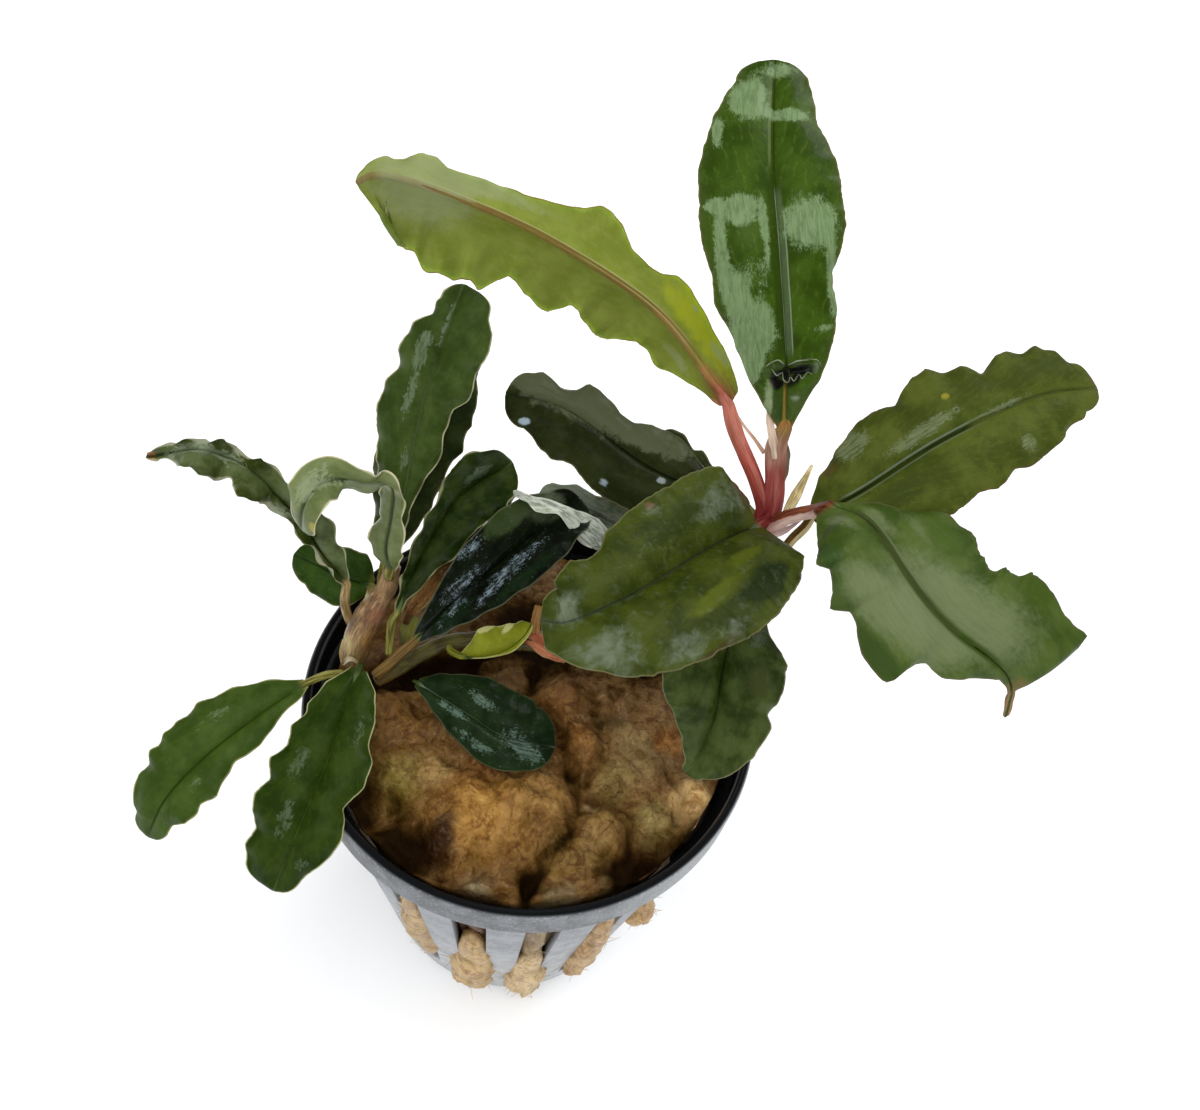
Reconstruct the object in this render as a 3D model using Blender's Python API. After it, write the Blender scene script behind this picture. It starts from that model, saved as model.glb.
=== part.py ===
"""Bucephalandra in a net pot: a creeping stem with two crowns of wavy leaves on a plug of mineral wool.

World frame: metres, +Z up, origin at the centre of the pot's underside, -Y towards the front.
Sizes and places below are in millimetres, and are turned into metres when a mesh is made.
"""
import math

import bmesh
import bpy
from mathutils import Vector

MM = 0.001

# Net pot
POT_HEIGHT = 50.0
RIM_RADIUS = 25.5
WALL_RADIUS_TOP = 24.3
BASE_RADIUS = 17.3
WALL = 1.1
COLLAR_HEIGHT = 5.2
COLLAR_WALL = 1.3
POT_SIDES = 54
SLOT_COUNT = 18
SLOT_WIDTH_DEG = 9.6
SLOT_FIRST_DEG = -5.0
SLOT_BOTTOM = 7.0
SLOT_TOP = 40.0
BASE_PLATE = 1.4
BASE_DISC = 2.0
BASE_HOLES = 9
BASE_HOLE_DEG = 24.0
BASE_HOLE_INNER = 6.5
BASE_HOLE_OUTER = 12.5

# Mineral wool
GAP = 0.3
WOOL_EDGE = 46.0
WOOL_MIDDLE = 48.8
TUFT_REACH = 1.6
TUFT_ROOT = 0.4
TUFT_HALF_DEG = 3.9
# Lumps and hollows on the wool's top: place, reach, height
WOOL_LUMPS = [
    ((-19.0, -2.0), 4.5, 3.4), ((-2.0, -13.5), 6.5, 2.2), ((-11.5, -12.0), 4.0, 1.2),
    ((9.5, -3.5), 7.0, 1.0), ((17.5, -9.0), 4.0, 2.0), ((4.0, -21.0), 3.0, 1.6),
    ((-6.5, -20.5), 2.6, 1.5), ((3.8, -12.5), 2.0, -2.2), ((1.0, 1.0), 3.0, -1.0),
    ((-12.5, -4.0), 3.5, -1.4)]

# Leaf solids
RIB_THICKNESS = 0.95
RIB_ABOVE = 0.35
BLADE_THICKNESS = 0.62
LEAST_HALF_WIDTH = 0.25
STATION_STEP = 2.05
STALK_STEP = 2.4


def material(name, colour, roughness):
    made = bpy.data.materials.new(name)
    made.use_nodes = True
    shader = made.node_tree.nodes["Principled BSDF"]
    shader.inputs["Base Color"].default_value = (*colour, 1.0)
    shader.inputs["Roughness"].default_value = roughness
    shader.inputs["Metallic"].default_value = 0.0
    return made


def add_object(name, vertices, faces, finish):
    """A mesh object in metres from millimetre points."""
    mesh = bpy.data.meshes.new(name)
    mesh.from_pydata([tuple(c * MM for c in v) for v in vertices], [], faces)
    work = bmesh.new()
    work.from_mesh(mesh)
    bmesh.ops.recalc_face_normals(work, faces=work.faces)
    work.to_mesh(mesh)
    work.free()
    mesh.shade_smooth()
    made = bpy.data.objects.new(name, mesh)
    bpy.context.collection.objects.link(made)
    made.data.materials.append(finish)
    return made


def loft(name, rings, finish):
    """A closed solid through rings of equally many points, capped flat at both ends."""
    n = len(rings[0])
    vertices = [tuple(p) for ring in rings for p in ring]
    faces = []
    for i in range(len(rings) - 1):
        for k in range(n):
            a, b = i * n + k, i * n + (k + 1) % n
            faces.append((a, b, b + n, a + n))
    last = (len(rings) - 1) * n
    faces.append(tuple(range(n - 1, -1, -1)))
    faces.append(tuple(range(last, last + n)))
    return add_object(name, vertices, faces, finish)


def lerp(a, b, t):
    return a + (b - a) * t


def reading(pairs, at):
    """The value at a distance, on the straight lines between (distance, value) pairs."""
    if at <= pairs[0][0]:
        return pairs[0][1]
    for (s0, v0), (s1, v1) in zip(pairs, pairs[1:]):
        if at <= s1:
            return lerp(v0, v1, (at - s0) / (s1 - s0))
    return pairs[-1][1]


def smooth_path(points, step, corners=()):
    """Points along a smooth curve through the given points, with their distances along it.

    They are about step apart, with more at the distances in corners, where an outline turns sharply.
    """
    knots = [Vector(p) for p in points]
    knots = [2 * knots[0] - knots[1]] + knots + [2 * knots[-1] - knots[-2]]
    fine = []
    for i in range(1, len(knots) - 2):
        a, b, c, d = knots[i - 1:i + 3]
        for k in range(16):
            t = k / 16
            fine.append(0.5 * (2 * b + (c - a) * t + (2 * a - 5 * b + 4 * c - d) * t ** 2
                               + (3 * b - a - 3 * c + d) * t ** 3))
    fine.append(knots[-2])
    along = [0.0]
    for p, q in zip(fine, fine[1:]):
        along.append(along[-1] + (q - p).length)
    count = max(3, round(along[-1] / step))
    targets = sorted([along[-1] * i / count for i in range(count + 1)] + list(corners))
    path, j = [], 0
    for target in targets:
        while j < len(fine) - 2 and along[j + 1] < target:
            j += 1
        t = (target - along[j]) / (along[j + 1] - along[j])
        path.append(fine[j].lerp(fine[j + 1], t))
    return path, targets


def direction(path, i):
    return (path[min(i + 1, len(path) - 1)] - path[max(i - 1, 0)]).normalized()


def round_ring(centre, side, upward, radius, count=8):
    """A round ring of points that starts at the side and goes over the top."""
    ring = []
    for k in range(count):
        turn = 2 * math.pi * k / count
        ring.append(centre + side * radius * math.cos(turn) + upward * radius * math.sin(turn))
    return ring


def stem(name, points, radii, finish, step=2.2, sides=8):
    """A round stem; radii are read evenly along it."""
    path, distances = smooth_path(points, step)
    pairs = [(distances[-1] * i / (len(radii) - 1), r) for i, r in enumerate(radii)]
    rings = []
    for i, centre in enumerate(path):
        heading = direction(path, i)
        side = heading.cross(Vector((0.3, -0.9, 0.3))).normalized()
        rings.append(round_ring(centre, side, side.cross(heading), reading(pairs, distances[i]), sides))
    return loft(name, rings, finish)


def blade_ring(centre, side, upward, left, right, fold_left, fold_right, rib, thickness):
    """Eight points round a thin blade: margins sharp, each half raised by its fold, the rib thickest."""
    def on_half(out, fold, towards):
        return centre + side * (towards * out * math.cos(fold)) + upward * (out * math.sin(fold))

    left_edge, left_mid = (on_half(left * share, fold_left, 1) for share in (1.0, 0.5))
    right_edge, right_mid = (on_half(right * share, fold_right, -1) for share in (1.0, 0.5))
    half = upward * (thickness / 2)
    return [left_edge, left_mid + half, centre + upward * (rib * RIB_ABOVE), right_mid + half,
            right_edge, right_mid - half, centre - upward * (rib * (1 - RIB_ABOVE)), left_mid - half]


def leaf(name, finish, stalk, stalk_radii, rib, face, left, right, fold=((0, 0), (0, 0)), corners=()):
    """One leaf, stalk and blade in one piece.

    stalk and rib are centre lines, crown to foot and foot to tip. face is the way the upper side looks at
    the foot and at the tip. left and right are (distance along the rib, half width) pairs. fold holds how
    far the left and right halves are raised, in degrees, at the foot and at the tip. corners are distances
    at which the margin turns sharply.
    """
    path, distances = smooth_path(rib, STATION_STEP, corners)
    length = distances[-1]
    faces = [Vector(f).normalized() for f in face]

    def frame(t, heading):
        upward = faces[0].lerp(faces[1], t)
        upward = (upward - heading * upward.dot(heading)).normalized()
        return upward.cross(heading), upward

    rings = []
    stalk_path, stalk_along = smooth_path(list(stalk) + [rib[0]], STALK_STEP)
    for i, centre in enumerate(stalk_path[:-1]):
        side, upward = frame(0, direction(stalk_path, i))
        radius = lerp(stalk_radii[0], stalk_radii[1], stalk_along[i] / stalk_along[-1])
        rings.append(round_ring(centre, side, upward, radius))
    for i, centre in enumerate(path):
        t = distances[i] / length
        side, upward = frame(t, direction(path, i))
        wide_left = max(reading(left, distances[i]), LEAST_HALF_WIDTH)
        wide_right = max(reading(right, distances[i]), LEAST_HALF_WIDTH)
        fold_left = math.radians(lerp(fold[0][0], fold[1][0], t))
        fold_right = math.radians(lerp(fold[0][1], fold[1][1], t))
        # A narrow part of the blade is thinner too, and the foot runs into the stalk
        thin = min(1.0, 0.35 + (wide_left + wide_right) / 6)
        rib_now = lerp(RIB_THICKNESS, BLADE_THICKNESS, t) * (thin if i else 1.4)
        rings.append(blade_ring(centre, side, upward, wide_left, wide_right, fold_left, fold_right,
                                rib_now, BLADE_THICKNESS * thin))
    return loft(name, rings, finish)


def ring_points(radius, height, count):
    turns = [2 * math.pi * k / count for k in range(count)]
    return [(radius * math.cos(turn), radius * math.sin(turn), height) for turn in turns]


def wall_radius(height):
    """Outer radius of the tapered wall."""
    return lerp(BASE_RADIUS, WALL_RADIUS_TOP, height / (POT_HEIGHT - COLLAR_HEIGHT))


def wedge(vertices, faces, middle_deg, width_deg, inner, outer, low, high):
    """Adds a wedge-shaped cutter to the lists."""
    first = len(vertices)
    for height in (low, high):
        for radius, sign in ((inner, -1), (outer, -1), (outer, 1), (inner, 1)):
            turn = math.radians(middle_deg + sign * width_deg / 2)
            vertices.append((radius * math.sin(turn), -radius * math.cos(turn), height))
    for face in ((3, 2, 1, 0), (4, 5, 6, 7), (0, 1, 5, 4), (1, 2, 6, 5), (2, 3, 7, 6), (3, 0, 4, 7)):
        faces.append(tuple(first + i for i in face))


def pot():
    """The net pot: rolled rim, collar, tapered wall with slots, holed base."""
    black = material("pot_black", (0.02, 0.021, 0.023), 0.35)
    shoulder = POT_HEIGHT - COLLAR_HEIGHT
    # From the middle of the underside, out and up, over the rim and down the inside
    profile = [
        (BASE_DISC, 0.0), (BASE_RADIUS - 0.8, 0.0), (BASE_RADIUS, 0.9), (wall_radius(shoulder), shoulder),
        (RIM_RADIUS - 0.2, shoulder), (RIM_RADIUS, POT_HEIGHT - 0.9), (RIM_RADIUS - 0.5, POT_HEIGHT),
        (RIM_RADIUS - COLLAR_WALL, POT_HEIGHT), (wall_radius(shoulder) - WALL, shoulder - 1.0),
        (BASE_RADIUS - WALL, BASE_PLATE), (BASE_DISC, BASE_PLATE)]
    body = loft("net_pot", [ring_points(r, height, POT_SIDES) for r, height in profile], black)

    points, faces = [], []
    for i in range(SLOT_COUNT):
        wedge(points, faces, SLOT_FIRST_DEG + 360 / SLOT_COUNT * i, SLOT_WIDTH_DEG,
              BASE_RADIUS - 4, RIM_RADIUS + 2, SLOT_BOTTOM, SLOT_TOP)
    for i in range(BASE_HOLES):
        wedge(points, faces, 360 / BASE_HOLES * i, BASE_HOLE_DEG,
              BASE_HOLE_INNER, BASE_HOLE_OUTER, -1, BASE_PLATE + 1)
    cutter = add_object("slot_cutters", points, faces, black)
    cutter.hide_render = True
    cutter.display_type = "WIRE"
    cut = body.modifiers.new("slots", "BOOLEAN")
    cut.operation = "DIFFERENCE"
    cut.solver = "EXACT"
    cut.object = cutter
    body.data.set_sharp_from_angle(angle=math.radians(30))


def wool_height(x, y):
    """Height of the wool's top: low at the wall, domed in the middle, with lumps and hollows."""
    out = min(1.0, math.hypot(x, y) / (WALL_RADIUS_TOP - WALL))
    height = lerp(WOOL_MIDDLE, WOOL_EDGE, out ** 3)
    for (cx, cy), reach, rise in WOOL_LUMPS:
        height += rise * math.exp(-((x - cx) ** 2 + (y - cy) ** 2) / reach ** 2)
    return height


def wool():
    """The plug of mineral wool, with a tuft that bulges out through each slot."""
    tan = material("wool_tan", (0.36, 0.21, 0.085), 0.95)
    pitch = 360 / SLOT_COUNT
    columns = (0.0, TUFT_HALF_DEG, pitch / 2, pitch - TUFT_HALF_DEG)
    turns = [math.radians(SLOT_FIRST_DEG - 90 + slot * pitch + column)
             for slot in range(SLOT_COUNT) for column in columns]
    bottom = BASE_PLATE + GAP
    # The first and last levels near a slot's ends keep the tufts clear of the wall there
    plain_levels = (bottom, SLOT_BOTTOM + 0.4, SLOT_TOP - 0.6)
    tuft_levels = (11.0, 19.0, 27.0, 35.0)

    def side_ring(level):
        ring = []
        for k, turn in enumerate(turns):
            radius = wall_radius(level) - WALL - GAP
            if level in tuft_levels and k % len(columns) == 0:
                wave = 0.5 + 0.5 * math.sin(k * 1.7 + level * 0.35)
                radius = wall_radius(level) + TUFT_REACH * wave - TUFT_ROOT
            ring.append((radius * math.cos(turn), radius * math.sin(turn), level))
        return ring

    def top_ring(radius):
        places = [(radius * math.cos(turn), radius * math.sin(turn)) for turn in turns]
        return [(x, y, wool_height(x, y)) for x, y in places]

    edge = wall_radius(44.0) - WALL - GAP
    rings = [side_ring(level) for level in sorted(plain_levels + tuft_levels)]
    rings += [top_ring(edge * share) for share in (1.0, 0.88, 0.7, 0.5, 0.3, 0.1)]
    loft("mineral_wool", rings, tan)


# Stems: centre line, radii
RHIZOME = ([(-16.1, -2.3, 52.1), (-13.4, -0.6, 53.4), (-9.9, 1.3, 55.0), (-4.5, 2.8, 55.4),
            (1.0, 3.4, 56.2), (8.0, 6.5, 60.0), (15.0, 9.8, 66.0), (19.6, 11.4, 71.6)],
           (0.9, 0.95, 1.1, 1.3, 1.5, 1.6, 1.5))
LEFT_STEM = ([(-19.3, -1.0, 51.9), (-19.3, 0.7, 55.0), (-18.3, 2.5, 58.4), (-17.2, 3.9, 61.0)],
             (1.9, 1.9, 1.35, 0.9))
DRIED_SPIKE = ([(22.6, 13.2, 71.2), (23.3, 14.6, 73.4), (24.4, 17.0, 76.6)], (0.35, 0.5, 0.1))

LEAVES = {
    "leaf_upright": dict(
        colour="dark", stalk=[(20.9, 13.0, 74.6), (20.6, 13.8, 79.0)],
        stalk_radii=(0.85, 0.55),
        rib=[(19.9, 14.4, 83.4), (18.4, 17.1, 89.4), (15.6, 22.1, 97.3), (13.4, 28.6, 102.6),
             (12.0, 37.7, 107.3)],
        face=((0.05, -0.8, 0.6), (0.0, -0.6, 0.8)),
        left=[(0, 0.7), (2.5, 2.2), (5, 3.5), (8.5, 4.7), (10, 5.0), (12.5, 6.3), (15, 6.3), (17.5, 6.9),
              (20, 7.2), (22, 6.9), (24, 6.9), (26.5, 6.3), (29, 5.6), (32, 4.2), (34, 2.9), (35.3, 1.0)],
        right=[(0, 0.7), (2.5, 1.9), (4.5, 3.1), (7, 4.2), (9, 4.7), (11, 5.1), (13, 4.8), (14.5, 4.9),
               (16.5, 5.7), (18.5, 6.4), (21, 6.2), (23, 6.2), (25, 5.9), (27, 5.2), (29, 4.1), (31, 3.9),
               (32.5, 3.5), (34.5, 2.5), (35.4, 1.0)]),
    "leaf_yellow_green": dict(
        colour="yellow_green", stalk=[(18.6, 13.2, 74.8), (17.2, 14.9, 78.6)],
        stalk_radii=(0.85, 0.55),
        rib=[(15.3, 16.3, 82.4), (12.4, 17.6, 84.7), (5.2, 19.9, 90.4), (-5.4, 20.1, 95.7),
             (-14.4, 20.2, 98.3), (-22.1, 20.7, 98.7), (-23.3, 18.9, 97.3)],
        face=((0.3, 0.9, -0.1), (0.2, 0.9, -0.2)),
        fold=((45, 10), (45, 10)),
        left=[(0, 0.6), (2, 1.8), (5, 2.7), (8.5, 2.9), (10.5, 3.3), (12, 3.8), (13.5, 3.7), (14.5, 2.9),
              (16.5, 3.0), (18.5, 3.4), (19.3, 4.3), (20.7, 5.1), (22.6, 5.1), (24, 3.8), (27, 3.0),
              (30.5, 2.6), (33, 2.5), (36, 2.2), (37.5, 2.9), (38.5, 2.9), (39.3, 2.0), (41, 1.7),
              (42.5, 1.6), (45, 0.5)],
        right=[(0, 0.6), (2.5, 1.8), (4, 2.4), (5.5, 3.5), (7.5, 5.1), (11.5, 5.3), (13, 7.1), (14.7, 7.9),
               (17, 7.4), (19, 6.5), (20, 6.7), (21, 8.3), (23.5, 8.2), (25.5, 7.0), (27, 6.9),
               (28.6, 9.3), (31.3, 9.1), (33, 9.6), (36.5, 9.3), (38.4, 7.5), (40, 7.3), (42, 6.4),
               (43.5, 4.5), (45, 0.7)]),
    "leaf_right": dict(
        colour="olive", stalk=[(22.9, 10.8, 70.2), (24.2, 11.2, 72.4)],
        stalk_radii=(0.7, 0.5),
        rib=[(25.0, 11.6, 74.8), (28.9, 13.0, 77.8), (35.7, 17.1, 83.0), (44.1, 22.1, 86.4),
             (50.7, 25.0, 86.8)],
        face=((0.0, -0.35, 0.94), (0.0, -0.35, 0.94)),
        left=[(0, 0.7), (0.7, 1.8), (2, 3.3), (5, 4.8), (9, 6.2), (11, 6.2), (13, 5.7), (14, 6.4),
              (15.5, 7.2), (17, 7.2), (18.5, 6.2), (20, 6.0), (22, 4.5), (23.5, 5.5), (25, 5.5), (26, 4.9),
              (27, 5.2), (29, 4.4), (30, 3.1), (31, 2.6), (32, 0.9)],
        right=[(0, 0.7), (2, 3.0), (5, 5.0), (8, 6.4), (11.5, 6.8), (13, 6.8), (15, 6.2), (16.5, 6.8),
               (18, 6.5), (19.5, 5.8), (21.2, 6.3), (23.5, 5.8), (25.5, 5.2), (28, 3.6), (29, 3.5),
               (30.5, 2.1), (32, 0.7)]),
    "leaf_drooping": dict(
        colour="grey_green", stalk=[(21.8, 10.4, 74.8), (23.4, 10.0, 77.0)],
        stalk_radii=(0.85, 0.65),
        corners=(11.2, 16.0, 16.4, 26.0, 26.5),
        rib=[(25.0, 8.9, 80.2), (28.9, 6.2, 80.7), (34.0, -0.1, 79.5), (38.4, -3.4, 78.5),
             (41.6, -4.4, 76.9), (43.5, -4.9, 74.6), (44.1, -5.4, 72.7), (44.6, -6.0, 71.0)],
        face=((0.1, -0.2, 1.0), (0.45, -0.45, 0.75)),
        left=[(0, 0.8), (4, 3.0), (6.4, 7.2), (7.1, 8.5), (8.8, 9.3), (11.3, 9.3), (14.7, 8.2), (16, 8.9),
              (16.4, 9.8), (18.5, 9.7), (19, 10.6), (23, 11.2), (24.4, 12.6), (25.5, 13.2), (26.0, 13.4),
              (26.4, 6.5), (26.6, 0.8), (29.5, 0.3)],
        right=[(0, 0.8), (0.5, 2.0), (1.2, 4.0), (4, 6.2), (6.6, 7.4), (7.4, 6.4), (9.6, 7.8), (11.1, 8.6),
               (11.6, 7.1), (13.3, 8.1), (15, 8.7), (16, 7.8), (16.3, 3.6), (17.5, 3.0), (18.8, 2.5),
               (20.4, 0.8), (25.5, 0.6), (28.2, 0.5), (29.5, 0.3)]),
    "leaf_front": dict(
        colour="olive", stalk=[(20.3, 10.2, 74.2)],
        stalk_radii=(0.75, 0.7),
        rib=[(19.6, 9.2, 74.6), (14.7, 3.1, 76.9), (8.5, -5.3, 79.1), (3.2, -10.5, 80.1),
             (0.6, -11.5, 80.6)],
        face=((-0.1, -0.1, 1.0), (-0.1, -0.3, 1.0)),
        fold=((15, 45), (0, 0)),
        left=[(0, 0.9), (0.7, 4.0), (2, 6.9), (5.4, 8.7), (8.3, 9.4), (11, 10.0), (14.2, 10.0), (16, 9.7),
              (18, 8.9), (19, 9.0), (21.3, 8.4), (22.5, 7.4), (23.2, 7.7), (24.4, 7.0), (26.2, 5.8),
              (27.6, 3.0), (28.6, 1.5), (29.2, 0.6)],
        right=[(0, 0.9), (1.0, 3.4), (2.2, 5.1), (3.2, 7.0), (4.9, 7.4), (6.6, 7.5), (8.8, 7.1),
               (10.3, 7.2), (12, 7.2), (14.7, 6.9), (16.6, 6.5), (18.3, 6.2), (19.8, 5.1), (21.8, 4.7),
               (23.5, 5.3), (24.9, 4.7), (28.3, 3.0), (29.2, 0.8)]),
    "leaf_lower_front": dict(
        colour="olive", stalk=[(19.9, 9.2, 68.4), (20.4, 8.1, 67.2)],
        stalk_radii=(0.6, 0.5),
        rib=[(20.4, 6.9, 65.8), (19.4, 2.1, 62.0), (19.5, -3.0, 57.8), (18.6, -6.6, 54.3),
             (17.6, -7.8, 52.7)],
        face=((0.1, -0.6, 0.8), (0.1, -0.6, 0.8)),
        fold=((25, 25), (25, 25)),
        left=[(0, 0.7), (2, 3.3), (3, 4.0), (4.4, 5.8), (5.7, 6.8), (7.4, 6.7), (9.2, 6.8), (10.4, 6.5),
              (11.9, 5.3), (12.6, 6.2), (13.8, 5.9), (15.8, 5.2), (17, 4.6), (18, 3.9), (18.8, 2.6),
              (19.8, 0.6)],
        right=[(0, 0.7), (2, 4.0), (4, 6.2), (6.5, 7.8), (8.6, 7.9), (10.7, 7.2), (12.6, 6.2), (14.3, 4.8),
               (16.1, 3.3), (18.1, 1.8), (19.8, 0.5)]),
    "leaf_dark_back": dict(
        colour="dark_olive", stalk=[(18.4, 12.9, 72.9)],
        stalk_radii=(0.6, 0.5),
        rib=[(17.2, 13.4, 73.6), (13.5, 13.7, 73.3), (7.4, 15.2, 73.8), (-1.8, 18.1, 76.8),
             (-8.2, 18.1, 77.4)],
        face=((0.0, -0.5, 0.86), (0.0, -0.5, 0.86)),
        left=[(0, 0.6), (3, 3.0), (6.5, 4.8), (9.5, 5.1), (12.4, 5.3), (14, 5.2), (15.7, 4.5), (17.3, 4.7),
              (18.6, 5.4), (21.7, 4.8), (24.2, 3.4), (25.5, 1.8), (26.4, 0.6)],
        right=[(0, 0.6), (3, 1.8), (5.8, 3.4), (7.3, 4.2), (9.5, 4.5), (12, 4.0), (13.5, 3.2), (15.3, 3.0),
               (16.6, 3.4), (18.2, 3.7), (19.5, 3.5), (20, 2.5), (21.5, 2.1), (23.3, 3.0), (25.1, 2.5),
               (26.4, 0.8)]),
    "leaf_small_back": dict(
        colour="dark_olive", stalk=[(18.6, 14.4, 70.6)],
        stalk_radii=(0.5, 0.4),
        rib=[(17.4, 14.9, 70.6), (13.9, 17.1, 72.4), (10.8, 18.7, 73.7), (8.5, 19.3, 74.8)],
        face=((0.0, -0.5, 0.86), (0.0, -0.5, 0.86)),
        left=[(0, 0.5), (2.5, 1.6), (5, 2.0), (8, 1.8), (10, 1.2), (11.2, 0.4)],
        right=[(0, 0.5), (2.5, 1.0), (5, 1.2), (6.4, 1.5), (7, 1.0), (8.8, 1.4), (10.3, 1.1),
               (11.2, 0.4)]),
    "leaf_pale_wavy": dict(
        colour="grey_green", stalk=[(12.6, 10.9, 62.2), (10.6, 10.8, 62.9)],
        stalk_radii=(0.5, 0.45),
        rib=[(8.9, 10.7, 63.8), (4.1, 10.9, 66.5), (-0.5, 11.0, 69.1), (-3.8, 11.4, 69.4),
             (-6.2, 10.9, 69.1)],
        face=((0.0, -0.6, 0.8), (0.0, -0.6, 0.8)),
        fold=((20, 30), (30, 30)),
        left=[(0, 0.5), (2, 2.2), (5, 3.0), (7.1, 2.6), (9, 1.9), (11, 2.2), (12.8, 1.6), (15, 1.2),
              (16.5, 0.4)],
        right=[(0, 0.5), (2, 2.2), (4.4, 3.0), (7, 2.6), (10.4, 2.4), (12.6, 1.4), (15.3, 1.6),
               (16.5, 0.5)]),
    "leaf_hidden_middle": dict(
        colour="dark", stalk=[(13.4, 12.0, 63.8)],
        stalk_radii=(0.5, 0.4),
        rib=[(10.4, 13.4, 63.9), (4.9, 14.0, 65.4), (0.3, 14.2, 66.9), (-3.3, 14.2, 67.0)],
        face=((0.0, -0.6, 0.8), (0.0, -0.6, 0.8)),
        left=[(0, 0.5), (3, 2.2), (7, 2.4), (10, 2.0), (12.5, 1.0), (14.2, 0.4)],
        right=[(0, 0.5), (3, 2.4), (5.5, 2.6), (8.5, 1.8), (10.5, 2.2), (12, 1.6), (13, 1.7),
               (14.2, 0.5)]),
    "leaf_left_upright": dict(
        colour="green", stalk=[(-17.2, 5.4, 62.4)],
        stalk_radii=(0.55, 0.5),
        rib=[(-17.0, 6.4, 64.1), (-16.9, 9.0, 68.2), (-16.0, 15.3, 77.7), (-14.5, 20.1, 84.1),
             (-13.9, 23.0, 86.5)],
        face=((-0.1, -0.8, 0.6), (-0.1, -0.8, 0.6)),
        left=[(0, 0.6), (3, 1.8), (6, 3.0), (8.5, 3.6), (11, 4.1), (12.5, 4.5), (14.6, 4.6), (16.5, 4.4),
              (18, 3.6), (19.8, 4.0), (21.3, 3.8), (23, 3.4), (24.3, 2.1), (25.7, 2.1), (26.7, 1.4),
              (28.2, 0.6)],
        right=[(0, 0.6), (3.8, 1.0), (5.7, 1.3), (7.8, 1.9), (9.7, 2.8), (11.3, 3.2), (13, 2.9), (15, 3.0),
               (16, 3.3), (17.2, 4.4), (18.7, 4.7), (20.3, 4.2), (22.2, 4.8), (24.6, 4.5), (25.7, 3.6),
               (26.7, 3.6), (28, 2.0), (28.3, 0.6)]),
    "leaf_left_back": dict(
        colour="dark", stalk=[(-18.4, 4.2, 56.9), (-18.7, 5.9, 58.3)],
        stalk_radii=(0.5, 0.45),
        rib=[(-18.7, 7.6, 60.0), (-16.8, 14.0, 67.7), (-15.2, 18.8, 74.1), (-13.1, 22.5, 78.4)],
        face=((-0.1, -0.8, 0.6), (-0.1, -0.8, 0.6)),
        left=[(0, 0.6), (1.5, 1.8), (5.3, 3.2), (8.7, 4.6), (11.8, 4.8), (15, 4.0), (19, 3.2), (22, 2.0),
              (24.3, 0.5)],
        right=[(0, 0.6), (3, 2.0), (7, 3.0), (10, 3.2), (12.8, 3.5), (14, 4.3), (16.3, 3.8), (17.3, 4.2),
               (19.5, 3.8), (21.1, 3.2), (22.8, 1.9), (24.3, 0.5)]),
    "leaf_left_inner": dict(
        colour="green", stalk=[(-16.3, -0.6, 54.4), (-16.5, 0.2, 57.0)],
        stalk_radii=(0.45, 0.45),
        rib=[(-15.6, 0.9, 59.5), (-15.0, 2.4, 62.1), (-13.2, 5.7, 66.8), (-10.7, 9.2, 70.9),
             (-6.2, 12.5, 73.5)],
        face=((0.3, -0.7, 0.65), (0.3, -0.7, 0.65)),
        fold=((50, 10), (35, 10)),
        left=[(0, 0.5), (2, 1.0), (5.5, 1.8), (8.5, 2.3), (12, 2.7), (14.8, 3.2), (16.6, 4.4), (17.5, 4.4),
              (19.8, 3.0), (21.2, 0.6)],
        right=[(0, 0.5), (1.5, 1.6), (5, 2.4), (8.4, 3.5), (11, 3.4), (14.5, 3.9), (18.2, 4.0),
               (19.7, 2.7), (21.2, 0.8)]),
    "leaf_left_glossy": dict(
        colour="black_green", stalk=[(-16.4, -2.7, 54.3), (-15.2, -2.2, 55.6)],
        stalk_radii=(0.42, 0.42),
        rib=[(-13.2, -1.2, 58.0), (-8.9, 1.5, 62.8), (-4.5, 4.4, 67.7), (-0.1, 7.0, 72.3),
             (3.2, 6.7, 72.3)],
        face=((-0.2, -0.6, 0.77), (-0.2, -0.6, 0.77)),
        fold=((25, 25), (20, 20)),
        left=[(0, 0.5), (2, 1.2), (4.7, 1.9), (7.5, 2.8), (10, 3.6), (11.3, 3.8), (13.8, 4.1), (16.7, 4.3),
              (19.6, 3.4), (21, 2.4), (23, 1.5), (24.5, 0.5)],
        right=[(0, 0.5), (2, 1.5), (3.7, 2.2), (7.8, 3.6), (11.8, 4.5), (14.2, 4.6), (16.5, 4.8),
               (19, 4.5), (22, 3.6), (24, 1.8), (24.6, 0.5)]),
    "leaf_arching": dict(
        colour="green", stalk=[(-21.6, -0.1, 55.6), (-21.2, 0.7, 58.8)],
        stalk_radii=(0.5, 0.45),
        rib=[(-21.2, 1.8, 61.7), (-23.7, 3.1, 64.0), (-25.7, 4.0, 66.7), (-28.1, 4.9, 69.4),
             (-31.5, 5.9, 72.1), (-34.3, 6.3, 73.0), (-37.2, 6.4, 73.1), (-42.4, 5.8, 71.4)],
        face=((0.3, -0.5, 0.8), (0.0, -0.5, 0.85)),
        fold=((60, 50), (45, 50)),
        left=[(0, 0.6), (3, 1.0), (5, 1.2), (7, 1.7), (10, 1.8), (12, 2.2), (13.2, 3.8), (14.8, 4.0),
              (16, 3.1), (17.5, 3.5), (18.6, 4.5), (20, 4.0), (21, 3.3), (22.3, 1.8), (24.7, 0.8),
              (26.3, 0.3)],
        right=[(0, 0.6), (0.7, 1.4), (2.4, 2.3), (5, 2.9), (6.6, 3.6), (9, 3.8), (13.5, 2.7), (15.2, 2.8),
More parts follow.
